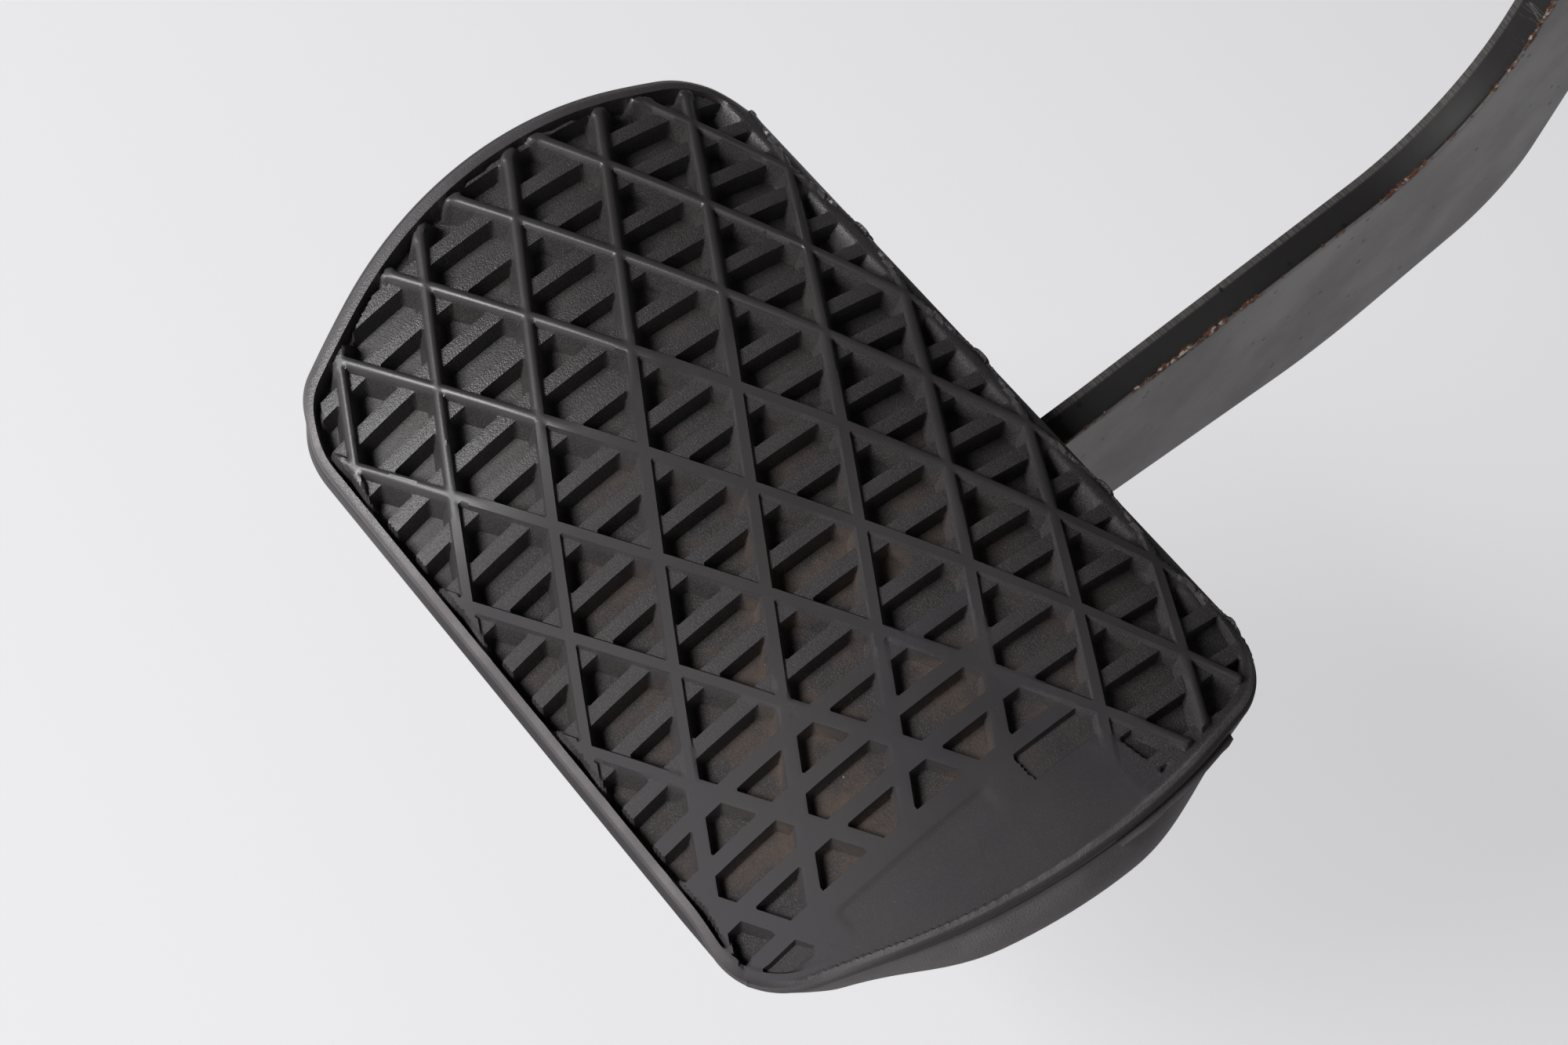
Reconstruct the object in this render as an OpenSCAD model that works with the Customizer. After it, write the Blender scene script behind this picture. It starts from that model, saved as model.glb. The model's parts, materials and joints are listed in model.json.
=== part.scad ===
// Suspended brake pedal of a car with its bracket, in millimetres.
// X points to the driver's right, Y forward to the bulkhead, Z up. The origin is the middle of the
// four bulkhead holes, on the face that meets the bulkhead.

/* [Pedal geometry] */
// Distance of the pivot behind the bulkhead face
pivot_back = 130; // [124:1:150]
// Height of the pivot above the pushrod line
pivot_up = 78; // [74:1:90]
// Height of the pivot above the middle of the pad
pad_drop = 240; // [230:1:260]
// Distance of the pad behind the pivot
pad_back = 75; // [66:1:84]
// Distance of the pad's middle to the left of the lever
pad_left = 10.5; // [0:0.5:20]
// Lean of the pad's face from the vertical, in degrees
pad_lean = 50; // [46:1:54]

/* [Rubber pad] */
// Width of the pad over its widest part
pad_width = 121; // [112:1:130]
// Height of the pad above the middle of its tread, along the crown
pad_rise = 40; // [38:0.5:43]
// Height of the pad below the middle of its tread, along the crown
pad_fall = 41.2; // [39:0.1:44]
// Distance from the middle of the tread to the middle of the pad
tread_shift = 0.6; // [-2:0.1:2]
// Radius of the crowned face
crown_r = 78; // [74:1:86]
// Rubber from the ridge tops to the foot plate
rubber_depth = 7; // [6:0.1:9]
// Half pitch of the diamonds across the pad
half_u = 12; // [11:0.1:13]
// Half pitch of the diamonds up the pad
half_s = 7.2; // [6.6:0.1:8]
// Width of an upright bar
bar_w = 2.05; // [1.6:0.05:2.6]
// Width of a slanted ridge at the height of the bars
ridge_w = 1.8; // [1.5:0.1:2.4]
// Width of a slanted ridge at its crest
crest_w = 1.1; // [0.8:0.1:1.4]
// Depth of the bar tops below the ridge tops
bar_drop = 1; // [0.6:0.1:1.5]
// Depth of the pockets below the bar tops
pocket_depth = 2.9; // [2:0.1:3.4]
// Width of the smooth rim
rim_w = 2.4; // [1.8:0.1:3.2]
// Depth of the rim below the ridge tops
rim_drop = 0.8; // [0.2:0.1:0.9]
// Overhang of the skirt beyond the rim, at the middle of each side
skirt_flare = 2.4; // [1:0.1:3]
// Depth of the skirt's shoulder below the ridge tops
skirt_drop = 5; // [4.5:0.1:6]
// Thickness of the lip that wraps behind the foot plate
lip_t = 2.5; // [1.5:0.1:3.5]
// Width of the lip behind the foot plate
lip_w = 6; // [4:0.5:9]

/* [Foot plate] */
// Thickness of the foot plate
plate_t = 2.5; // [2:0.1:3]
// Rubber around the edge of the foot plate
plate_margin = 3; // [2.6:0.1:4]

/* [Lever] */
// Thickness of the lever plate
arm_t = 5; // [4.5:0.1:5.6]
// Distance up the pad's plane to the inside of the knee
knee_rise = 115; // [110:1:120]
// Width of the lever behind the pad's top edge
arm_low_w = 30; // [26:1:34]
// Width of the lever below the knee
arm_knee_w = 39; // [35:1:42]
// Width of the lever above the knee
arm_mid_w = 25; // [22:1:28]
// Height of the lever's upper bend below the pivot
bend_drop = 100; // [90:1:110]
// Distance of the lever's front edge at the upper bend behind the pivot
bend_back = 7; // [4:1:10]
// Radius of the lever's head around the pivot
head_r = 19; // [17:0.5:20.5]

/* [Pivot] */
// Diameter of the pivot bolt
bolt_d = 10; // [8:1:11]
// Outer diameter of the spacer sleeve
sleeve_d = 14; // [13.5:0.1:15]
// Outer diameter of a bush
bush_d = 18; // [17.5:0.1:19]
// Outer diameter of the pivot tube
tube_d = 24; // [23:0.5:25]
// Length of a bush in the tube
bush_len = 15; // [10:1:18]
// Thickness of a bush's flange
bush_flange = 2; // [1.5:0.1:2.5]
// Side play of the pedal at each end
side_play = 0.4; // [0.3:0.05:0.8]

/* [Bracket] */
// Distance between the bracket's cheeks
cheek_gap = 50; // [48:1:56]
// Thickness of the bracket's sheet
sheet_t = 3; // [2.5:0.1:3.5]
// Spacing of the bulkhead holes across the car
hole_span_x = 84; // [80:1:96]
// Spacing of the bulkhead holes up the car
hole_span_z = 70; // [64:1:76]
// Diameter of the bulkhead holes
hole_d = 8.5; // [8:0.1:10.5]
// Inside radius of the folds
fold_r = 3; // [2:0.5:4]
// Diameter of the lightening hole in a cheek
window_d = 28; // [20:1:30]

/* [Return spring] */
// Diameter of the spring wire
wire_d = 3; // [2.6:0.1:3.2]
// Number of turns
spring_turns = 4; // [3:1:4]
// Distance of the spring's hook below the pivot
hook_drop = 34; // [30:1:36]
// Distance of the spring's anchor in front of the pivot
anchor_lead = 46; // [42:1:50]

/* [Stop and switch] */
// Height of the rubber buffer above the pushrod line
buffer_up = 32; // [28:1:36]
// Diameter of the rubber buffer
buffer_d = 14; // [12:1:16]
// Distance from the tab's front face to the lever at the buffer
buffer_len = 14; // [11:1:16]
// Height of the stop lamp switch above the pushrod line
switch_up = 6; // [4:1:9]
// Diameter of the switch's threaded barrel
barrel_d = 12; // [10:1:13]
// Travel of the switch plunger
plunger_travel = 4; // [3:0.5:5]

/* [Pushrod fork] */
// Distance of the fork's pin in front of the pivot
pin_forward = 5; // [3:0.5:7]
// Diameter of the clevis pin
pin_d = 10; // [9:0.5:11]
// Gap between the fork's ears
ear_gap = 8; // [7.6:0.1:9]
// Thickness of one ear
ear_t = 5; // [4:0.5:6]
// Height of the fork
fork_h = 20; // [18:1:22]
// Depth of the fork's slot from the pin
slot_depth = 20; // [19:0.5:23]
// Length of the fork from the pin to its mouth
fork_len = 52; // [48:1:56]
// Length of the clevis pin beyond its clip
pin_end = 3; // [2:0.5:4]
// Core diameter of the fork's M10 thread
thread_core_d = 8.5; // [8:0.1:9]

/* [Hidden] */
$fn = 64;

// Colours
black_paint = [0.13, 0.13, 0.14];
bracket_paint = [0.20, 0.20, 0.21];
rubber = [0.17, 0.18, 0.20];
zinc = [0.72, 0.71, 0.66];
steel = [0.50, 0.51, 0.52];
white_nylon = [0.85, 0.84, 0.78];
black_plastic = [0.10, 0.10, 0.11];

// Clearances
running = 0.05;
bolt_clear = 0.2;
rest_gap = 0.4;
arm_slot_clear = 0.4;
wire_clear = 0.4;

// Pivot and pad centre in the side view, as [y, z]
pivot = [-pivot_back, pivot_up];
pad = [pivot[0] - pad_back, pivot[1] - pad_drop];

// Radii of the layers behind the crown, about the crown's own axis
rim_r = crown_r - rim_drop;
bar_r = crown_r - bar_drop;
pocket_r = bar_r - pocket_depth;
skirt_r = crown_r - skirt_drop;
plate_front_r = crown_r - rubber_depth;
plate_back_r = plate_front_r - plate_t;
lip_r = plate_back_r - lip_t;

// The lever's front edge leaves the foot plate at the pad's top edge, this far behind the crown
arm_meet = pad_rise - 0.5;
arm_front = crown_r - sqrt(plate_back_r ^ 2 - arm_meet ^ 2);

// Plain helpers for outlines
function unit(v) = v / norm(v);

// One corner of an outline as an arc of radius r
function corner(a, b, c, r, n) =
  let (
    u = unit(a - b),
    w = unit(c - b),
    half = acos(u * w) / 2,
    m = b + unit(u + w) * r / sin(half),
    s = b + u * r / tan(half) - m,
    e = b + w * r / tan(half) - m,
    from = atan2(s[1], s[0]),
    raw = atan2(e[1], e[0]) - from,
    sweep = raw > 180 ? raw - 360 : raw < -180 ? raw + 360 : raw
  )
  r == 0 ? [b] : [for (i = [0 : n]) m + r * [cos(from + sweep * i / n), sin(from + sweep * i / n)]];

// A closed outline from corners given as [x, y, radius], without the first and last skip corners
function rounded(p, n = 8, skip = 0) =
  [for (i = [skip : len(p) - 1 - skip])
    let (k = len(p), a = p[(i + k - 1) % k], b = p[i], c = p[(i + 1) % k])
      each corner([a[0], a[1]], [b[0], b[1]], [c[0], c[1]], b[2], n)];

// The same corners moved inward by d, for outlines that run clockwise, with no radius under least
function inset(p, d, least = 1.5) =
  [for (i = [0 : len(p) - 1])
    let (
      k = len(p),
      a = p[(i + k - 1) % k],
      c = p[(i + 1) % k],
      b = [p[i][0], p[i][1]],
      u = unit([a[0], a[1]] - b),
      w = unit([c[0], c[1]] - b),
      q = b + unit(u + w) * d / sin(acos(u * w) / 2)
    )
      [q[0], q[1], max(p[i][2] - d, least)]];

// A side view point from its place in the pad's frame: v up the pad, n out of its crown
function from_pad(v, n) =
  pad + [v * sin(pad_lean) - n * cos(pad_lean), v * cos(pad_lean) + n * sin(pad_lean)];

// Solids drawn in the side view and given a width along X
module across(x0, x1) {
  translate([x0, 0, 0])
    rotate([90, 0, 90])
      linear_extrude(x1 - x0)
        children();
}

// A round bar along X through a side view point
module bar_x(c, r, x0, x1) {
  translate([x0, c[0], c[1]])
    rotate([0, 90, 0])
      cylinder(r = r, h = x1 - x0);
}

// A round bar along Y at a height above the pushrod line
module bar_y(z, r, y0, y1) {
  translate([0, y0, z])
    rotate([-90, 0, 0])
      cylinder(r = r, h = y1 - y0);
}

// A tube along X
module tube_x(c, r_out, r_in, x0, x1) {
  difference() {
    bar_x(c, r_out, x0, x1);
    bar_x(c, r_in, x0 - 1, x1 + 1);
  }
}

// A hexagon along X, by its width across flats
module hex_x(c, flats, x0, x1) {
  translate([x0, c[0], c[1]])
    rotate([0, 90, 0])
      cylinder(d = flats / cos(30), h = x1 - x0, $fn = 6);
}

// A wire of radius r swept along a path of 3D points
function tangents(p) =
  [for (i = [0 : len(p) - 1]) unit(p[min(i + 1, len(p) - 1)] - p[max(i - 1, 0)])];
function flat_to(v, t) = unit(v - (v * t) * t);
module wire(path, r, first, sides = 10) {
  t = tangents(path);
  last = len(path) - 1;
  normals = [for (i = 0, n = flat_to(first, t[0]); i <= last; i = i + 1, n = flat_to(n, t[min(i, last)])) n];
  rings = [for (i = [0 : last], k = [0 : sides - 1])
    let (a = 360 * k / sides, b = cross(t[i], normals[i]))
      path[i] + r * (cos(a) * normals[i] + sin(a) * b)];
  walls = [for (i = [0 : last - 1], k = [0 : sides - 1])
    let (j = (k + 1) % sides)
      [i * sides + k, (i + 1) * sides + k, (i + 1) * sides + j, i * sides + j]];
  caps = [
    [for (k = [0 : sides - 1]) k],
    [for (k = [sides - 1 : -1 : 0]) last * sides + k]
  ];
  polyhedron(points = rings, faces = concat(walls, caps), convexity = 8);
}

// Pad

// The pad's frame: X across, Y up the pad, Z out of the crown, origin on the crown
module in_pad_frame() {
  translate([-pad_left, pad[0], pad[1]])
    rotate([90 - pad_lean, 0, 0])
      children();
}

// Points given along the crown's arc, laid flat for an upright prism
function lay(p) = [for (q = p) [q[0], crown_r * sin(q[1] / crown_r * 180 / PI)]];

// The pad's outline seen square on, moved inward by d, from corners given as [x, y, radius]
half_w = pad_width / 2;
top_in = 5;
top_r = 12.5;
side_out = 3.4;
side_r = 82;
foot_in = 12.7;
foot_r = 13;
pad_corners = [
  [-half_w + top_in, pad_rise, top_r],
  [half_w - top_in, pad_rise, top_r],
  [half_w + side_out, -0.8, side_r],
  [half_w - foot_in, -pad_fall, foot_r],
  [-half_w + foot_in, -pad_fall, foot_r],
  [-half_w - side_out, -0.8, side_r]
];

// The same corners with the two sides pushed out by b
function bulged(p, b) = [for (q = p) abs(q[0]) > half_w ? [q[0] + sign(q[0]) * b, q[1], 0.7 * q[2]] : q];

function shifted(p) = [for (q = p) q + [tread_shift, 0]];
function outline(d) = shifted(rounded(inset(pad_corners, d), 10));
pad_outline = outline(0);
tread_outline = outline(rim_w);
skirt_outline = shifted(rounded(inset(bulged(pad_corners, skirt_flare), -0.2), 10));
plate_outline = outline(plate_margin);
opening_outline = outline(plate_margin + lip_w);

module prism(p) {
  translate([0, 0, -40])
    linear_extrude(50)
      polygon(lay(p));
}

// All that lies within radius r of the crown's axis
module within(r) {
  translate([-pad_width, 0, -crown_r])
    rotate([0, 90, 0])
      cylinder(r = r, h = 2 * pad_width, $fn = 180);
}

// Where a plane through the crown's axis ends, if it meets the rim at s along the crown
function ray(s) =
  let (a = asin(crown_r * sin(s / crown_r * 180 / PI) / rim_r))
    2 * crown_r * [sin(a), cos(a)] - [0, crown_r];

// All that lies between two such planes, d inside the top and bottom edges of the pad
module sector(d) {
  translate([-pad_width, 0, 0])
    rotate([90, 0, 90])
      linear_extrude(2 * pad_width)
        polygon([[0, -crown_r], ray(pad_rise - d), ray(d - pad_fall)]);
}

// The tread: bars every half_u / 2, ridges through the nodes of a lattice
slope = half_s / half_u;
ridge_half = ridge_w / 2 / cos(atan(slope));
crest_half = crest_w / 2 / cos(atan(slope));
gap_half = (half_u / 2 - bar_w) / 2;
node_col = 5;
node_row = 4;
// To the right of this line the tread has worn smooth
smooth_u = 49;

// Six-sided pocket above the node at [u, s]
function long_pocket(u, s) =
  let (g = gap_half, rise = slope * gap_half, top = s + 2 * half_s - ridge_half)
    [
      [u, s + ridge_half], [u + g, s + ridge_half + rise], [u + g, top - rise],
      [u, top], [u - g, top - rise], [u - g, s + ridge_half + rise]
    ];

// Four-sided pocket between two ridges that part towards the given side of column u
function kite_pocket(u, s, way) =
  let (g = way * gap_half, rise = slope * gap_half)
    [
      [u - g, s - half_s / 2 + ridge_half + rise], [u + g, s - half_s / 2 + ridge_half - rise],
      [u + g, s + half_s / 2 - ridge_half + rise], [u - g, s + half_s / 2 - ridge_half - rise]
    ];

module pockets() {
  for (i = [-node_col : node_col - 1], k = [-node_row : node_row]) {
    s = (abs(i) % 2 + 2 * k) * half_s;
    if (i * half_u < smooth_u) prism(long_pocket(i * half_u, s - 2 * half_s));
    if ((i + 0.5) * half_u < smooth_u) {
      prism(kite_pocket((i + 0.5) * half_u, s, 1));
      prism(kite_pocket((i + 0.5) * half_u, s + half_s, -1));
    }
  }
}

// One ridge through [0, s], rising to the right for way 1 and to the left for way -1
function ridge_strip(s, way) =
  let (steps = 8, reach = 5.5 * half_u)
    concat(
      [for (i = [0 : steps]) let (u = reach * (2 * i / steps - 1)) [u, s + way * slope * u + crest_half]],
      [for (i = [steps : -1 : 0]) let (u = reach * (2 * i / steps - 1)) [u, s + way * slope * u - crest_half]]
    );

// The corner of the tread where the ridges still stand
unworn = [[-66, -46], [-6, -46], [14, -14], [26, 3], [44, 12], [66, 16], [66, 48], [-66, 48]];

module ridges() {
  intersection() {
    union()
      for (k = [-node_row : node_row], way = [-1, 1])
        prism(ridge_strip(2 * k * half_s, way));
    prism(tread_outline);
    prism(unworn);
    within(crown_r);
  }
}

module rubber_pad() {
  color(rubber)
    in_pad_frame()
      difference() {
        intersection() {
          union() {
            face();
            ridges();
            intersection() {
              prism(skirt_outline);
              within(skirt_r);
            }
          }
          sector(0);
        }
        within(lip_r);
        intersection() {
          prism(opening_outline);
          sector(plate_margin + lip_w);
          within(plate_front_r - plate_t / 2);
        }
        plate();
        lever_slot();
      }
}

// The crowned block with its bars and pockets
module face() {
  difference() {
    intersection() {
      prism(pad_outline);
      within(rim_r);
    }
    difference() {
      prism(tread_outline);
      within(bar_r);
    }
    difference() {
      intersection() {
        prism(tread_outline);
        pockets();
      }
      within(pocket_r);
    }
  }
}

// The way through the lip and skirt for the lever
module lever_slot() {
  slot_w = arm_t + 2 * arm_slot_clear;
  translate([pad_left - slot_w / 2, 0, -crown_r])
    cube([slot_w, pad_rise + pad_fall, crown_r - arm_front + arm_slot_clear]);
  intersection() {
    translate([pad_left - slot_w / 2, 0, -crown_r])
      cube([slot_w, pad_rise, crown_r]);
    within(plate_back_r + arm_slot_clear);
  }
}

module plate() {
  difference() {
    intersection() {
      prism(plate_outline);
      sector(plate_margin);
      within(plate_front_r);
    }
    within(plate_back_r);
  }
}

module foot_plate() {
  color(steel) in_pad_frame() plate();
}

// Lever

// Corners of the lever's outline in the side view
knee_in = from_pad(knee_rise, 3 - arm_front);
knee_out = from_pad(knee_rise + 17, -arm_front - 30);
bend_front = pivot - [bend_back, bend_drop];
bend_rear = bend_front + [arm_mid_w, -2];
head_front = pivot + [-head_r, head_r];
head_rear = pivot + [head_r, head_r];

// The lever's two edges beside the pivot, as the y of the edge at height z
function edge_y(a, b, z) = a[0] + (b[0] - a[0]) * (z - a[1]) / (b[1] - a[1]);
function driver_edge(z) = edge_y(bend_front, head_front, z);
function bulkhead_edge(z) = edge_y(bend_rear, head_rear, z);

function xyr(p, r) = [p[0], p[1], r];

// The lever's front edge runs along the back of the foot plate from heel to toe, as angles on the crown
heel_clear = 4;
plate_heel = -(pad_fall - plate_margin - lip_w - heel_clear) / crown_r * 180 / PI;
arm_bend_r = 90;
plate_toe = asin(arm_meet / plate_back_r);
function on_plate(a) = from_pad(plate_back_r * sin(a), plate_back_r * cos(a) - crown_r);
arm_outline = concat(
  [for (i = [0 : 24]) on_plate(plate_heel + (plate_toe - plate_heel) * i / 24)],
  rounded([
    xyr(on_plate(plate_toe), 0),
    xyr(knee_in, 26),
    xyr(bend_front, arm_bend_r),
    xyr(head_front, 0.9 * head_r),
    xyr(head_rear, 0.9 * head_r),
    xyr(bend_rear, arm_bend_r),
    xyr(knee_out, 17),
    xyr(from_pad(knee_rise - 19, 2 - arm_front - arm_knee_w), 60),
    xyr(from_pad(38, -arm_front - arm_low_w), 60),
    xyr(from_pad(plate_back_r * sin(plate_heel) - 1, -26), 6),
    xyr(on_plate(plate_heel), 0)
  ], skip = 1)
);
pin = [pivot[0] + pin_forward, 0];
pushrod_wall = 2;
pushrod_bush_r = pin_d / 2 + running + pushrod_wall;

module pedal_arm() {
  color(black_paint)
    difference() {
      across(-arm_t / 2, arm_t / 2) polygon(arm_outline);
      bar_x(pivot, tube_d / 2, -arm_t, arm_t);
      bar_x(pin, pushrod_bush_r, -arm_t, arm_t);
    }
}

// Pivot

tube_len = cheek_gap - 2 * (bush_flange + side_play);
weld = 3;

module pivot_tube() {
  color(black_paint)
    difference() {
      union() {
        bar_x(pivot, tube_d / 2, -tube_len / 2, tube_len / 2);
        for (way = [-1, 1])
          translate([way * arm_t / 2, pivot[0], pivot[1]])
            rotate([0, way * 90, 0])
              cylinder(r1 = tube_d / 2 + weld, r2 = tube_d / 2, h = weld);
      }
      bar_x(pivot, bush_d / 2, -tube_len, tube_len);
    }
}

// One flanged bush, on the right for way 1 and on the left for way -1
module bush(way) {
  end = tube_len / 2;
  mirror([way < 0 ? 1 : 0, 0, 0])
    difference() {
      union() {
        bar_x(pivot, bush_d / 2, end - bush_len, end);
        bar_x(pivot, bush_d / 2 + 5, end, end + bush_flange);
      }
      bar_x(pivot, sleeve_d / 2 + running, 0, cheek_gap);
    }
}

module left_bush() {
  color(white_nylon) bush(-1);
}

module right_bush() {
  color(white_nylon) bush(1);
}

module spacer_sleeve() {
  color(zinc)
    tube_x(pivot, sleeve_d / 2, bolt_d / 2 + bolt_clear, -cheek_gap / 2, cheek_gap / 2);
}

cheek_x = cheek_gap / 2 + sheet_t;
washer_t = 2;
nut_h = bolt_d * 0.8;
hex_flats = bolt_d * 1.7;
bolt_head_h = bolt_d * 0.7;

module pivot_bolt() {
  color(zinc) {
    bar_x(pivot, bolt_d / 2, -cheek_x - washer_t - nut_h - 3, cheek_x);
    bar_x(pivot, bolt_d * 1.1, cheek_x, cheek_x + washer_t);
    hex_x(pivot, hex_flats, cheek_x, cheek_x + bolt_head_h);
  }
}

module pivot_washer() {
  color(zinc)
    tube_x(pivot, bolt_d, bolt_d / 2 + bolt_clear, -cheek_x - washer_t, -cheek_x);
}

module pivot_nut() {
  color(zinc)
    difference() {
      hex_x(pivot, hex_flats, -cheek_x - washer_t - nut_h, -cheek_x - washer_t);
      bar_x(pivot, bolt_d / 2 + running, -2 * cheek_x, 0);
    }
}

// Return spring, a torsion spring around the pivot tube on the left of the lever

liner_t = 1.6;
liner_end = -tube_len / 2 + 1;
coil_r = tube_d / 2 + liner_t + 0.5 + wire_d / 2;
coil_pitch = wire_d + 0.25;
coil_start = -arm_t / 2 - weld - wire_d / 2 - 0.3;
coil_end = coil_start - (spring_turns + 0.25) * coil_pitch;
hook_z = pivot[1] - hook_drop;
hook = [bulkhead_edge(hook_z) + wire_d / 2 + 0.1, hook_z];
anchor_rise = 4;
anchor = pivot + [anchor_lead, anchor_rise];

module spring_liner() {
  color(black_plastic)
    tube_x(pivot, tube_d / 2 + liner_t, tube_d / 2, liner_end, -arm_t / 2 - weld);
}

// Angle on the coil where a line from point q touches it, on the side given by way
function touch_angle(q, way) =
  let (d = q - pivot) atan2(d[1], d[0]) + way * acos(coil_r / norm(d));

module return_spring() {
  first = touch_angle(hook, 1);
  last = touch_angle(anchor, 1);
  whole = 360 * spring_turns;
  sweep = whole + last - first;
  steps = 20 * spring_turns;
  coil = [for (i = [0 : steps])
    let (a = first + sweep * i / steps)
      [
        coil_start + (coil_end - coil_start) * i / steps,
        pivot[0] + coil_r * cos(a),
        pivot[1] + coil_r * sin(a)
      ]];
  bend = wire_d;
  path = concat(
    [[arm_t / 2 + 2, hook[0], hook[1]], [coil_start + bend, hook[0], hook[1]]],
    [[coil_start + 0.3 * bend, hook[0], hook[1] + 0.3 * bend], [coil_start, hook[0], hook[1] + bend]],
    coil,
    [[coil_end, anchor[0] - bend, anchor[1]], [coil_end - 0.3 * bend, anchor[0] - 0.3 * bend, anchor[1]]],
    [[coil_end - bend, anchor[0], anchor[1]], [-cheek_x - 2, anchor[0], anchor[1]]]
  );
  color(steel) wire(path, wire_d / 2, [0, 1, 0]);
}

// Bracket, four pressings welded edge to edge: two cheeks with outward feet, a top web and a tab behind the lever

bend_r = fold_r + sheet_t;
cheek_top = pivot[1] + head_r + sheet_t + 5;
foot_edge = hole_d + 5;
foot_x = hole_span_x / 2 + foot_edge;
foot_z = hole_span_z / 2 + foot_edge;
rear_y = driver_edge(buffer_up) - buffer_len;
tab_edge = 8;
tab_low = switch_up - barrel_d / 2 - tab_edge;
tab_high = buffer_up + buffer_d / 2 + tab_edge - 1;
tab_end = barrel_d / 2 + tab_edge + 1;
tab_corner = 8;
web_front = -34;

// A quarter ring: the fold between two flat stretches of sheet
module quarter_fold(a) {
  rotate(a)
    intersection() {
      difference() {
        circle(r = bend_r);
        circle(r = fold_r);
      }
      square(bend_r + 1);
    }
}

// Side view of a cheek, down to its fold lines
module cheek_shape() {
  polygon(rounded([
    [-bend_r, -foot_z, 0],
    [-bend_r, foot_z, 0],
    [web_front, foot_z + 6, 20],
    [web_front, cheek_top - bend_r, 0],
    [rear_y + bend_r - sheet_t, cheek_top - bend_r, 0],
    [rear_y + bend_r - sheet_t, tab_low, tab_corner],
    [rear_y + 58, tab_low, 40],
    [-24, -foot_z, 24]
  ]));
}

// The sheet's hat shape seen from above: cheek, fold and foot on the right
module foot_and_fold() {
  translate([0, 0, -foot_z])
    linear_extrude(2 * foot_z)
      translate([cheek_x + fold_r, -bend_r])
        quarter_fold(90);
  rotate([90, 0, 0])
    linear_extrude(sheet_t)
      polygon(rounded([
        [cheek_x + fold_r, -foot_z, 0],
        [foot_x, -foot_z, 9],
        [foot_x, foot_z, 9],
        [cheek_x + fold_r, foot_z, 0]
      ]));
}

// A cheek with its foot, on the right for way 1 and on the left for way -1
module cheek(way) {
  difference() {
    mirror([way < 0 ? 1 : 0, 0, 0]) {
      across(cheek_gap / 2, cheek_x) cheek_shape();
      foot_and_fold();
    }
    for (sz = [-1, 1])
      translate([way * hole_span_x / 2, -2 * sheet_t, sz * hole_span_z / 2])
        rotate([-90, 0, 0])
          cylinder(d = hole_d, h = 3 * sheet_t);
    bar_x(pivot, bolt_d / 2 + bolt_clear, -2 * cheek_x, 2 * cheek_x);
    bar_x([web_front - window_d, switch_up + tab_end - 3], window_d / 2, -2 * cheek_x, 2 * cheek_x);
    if (way < 0) bar_x(anchor, wire_d / 2 + wire_clear, -2 * cheek_x, 0);
  }
}

module left_cheek() {
  color(bracket_paint) cheek(-1);
}

module right_cheek() {
  color(bracket_paint) cheek(1);
}

web_low = cheek_top - bend_r;
web_side = cheek_x - bend_r;
web_rear = rear_y + bend_r - sheet_t;

module top_web() {
  color(bracket_paint)
    translate([0, web_front, 0])
      rotate([90, 0, 0])
        linear_extrude(web_front - web_rear) {
          translate([-web_side, cheek_top - sheet_t]) square([2 * web_side, sheet_t]);
          translate([web_side, web_low]) quarter_fold(0);
          translate([-web_side, web_low]) quarter_fold(90);
        }
}

module stop_tab() {
  color(bracket_paint)
    difference() {
      union() {
        translate([-web_side, web_rear, tab_low + tab_corner])
          linear_extrude(tab_high - tab_low - tab_corner) quarter_fold(180);
        translate([0, rear_y, 0])
          rotate([90, 0, 0])
            linear_extrude(sheet_t)
              polygon(rounded([
                [-web_side, tab_low + tab_corner, 0],
                [-web_side, tab_high, 0],
                [tab_end, tab_high, tab_corner],
                [tab_end, tab_low + tab_corner, tab_corner]
              ]));
      }
      bar_y(buffer_up, buffer_d / 4 + 0.5, rear_y - 2 * sheet_t, rear_y + sheet_t);
      bar_y(switch_up, barrel_d / 2 + bolt_clear, rear_y - 2 * sheet_t, rear_y + sheet_t);
    }
}

// Stop buffer, pressed through the tab

module stop_buffer() {
  stem_r = buffer_d / 4 + 0.5;
  color(rubber) {
    bar_y(buffer_up, buffer_d / 2, rear_y, driver_edge(buffer_up - buffer_d / 2) - rest_gap - 2);
    bar_y(buffer_up, buffer_d / 2 - 2, rear_y, driver_edge(buffer_up + buffer_d / 2) - rest_gap);
    bar_y(buffer_up, stem_r, rear_y - sheet_t, rear_y);
    translate([0, rear_y - sheet_t - 5, buffer_up])
      rotate([-90, 0, 0])
        cylinder(r1 = stem_r - 1, r2 = stem_r + 2, h = 5);
  }
}

// Stop lamp switch

switch_nut_h = 4;
switch_flats = barrel_d + 5;
barrel_front = rear_y + switch_nut_h + 3;
barrel_rear = rear_y - sheet_t - switch_nut_h - 10;
plunger_r = barrel_d / 4;
plunger_tip = driver_edge(switch_up + plunger_r) - rest_gap;
plunger_in = 12;
housing = [20, 26, 18];
housing_wall = 2;

module switch_body() {
  color(black_plastic)
    difference() {
      union() {
        bar_y(switch_up, barrel_d / 2, barrel_rear, barrel_front);
        translate([-housing[0] / 2, barrel_rear - housing[1], switch_up - housing[2] / 2])
          cube(housing);
      }
      bar_y(switch_up, plunger_r + running, barrel_front - plunger_in - plunger_travel, barrel_front + 1);
      translate([
        -housing[0] / 2 + housing_wall,
        barrel_rear - housing[1] - 1,
        switch_up - housing[2] / 2 + housing_wall
      ])
        cube([housing[0] - 2 * housing_wall, 15, housing[2] - 2 * housing_wall]);
    }
}

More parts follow.
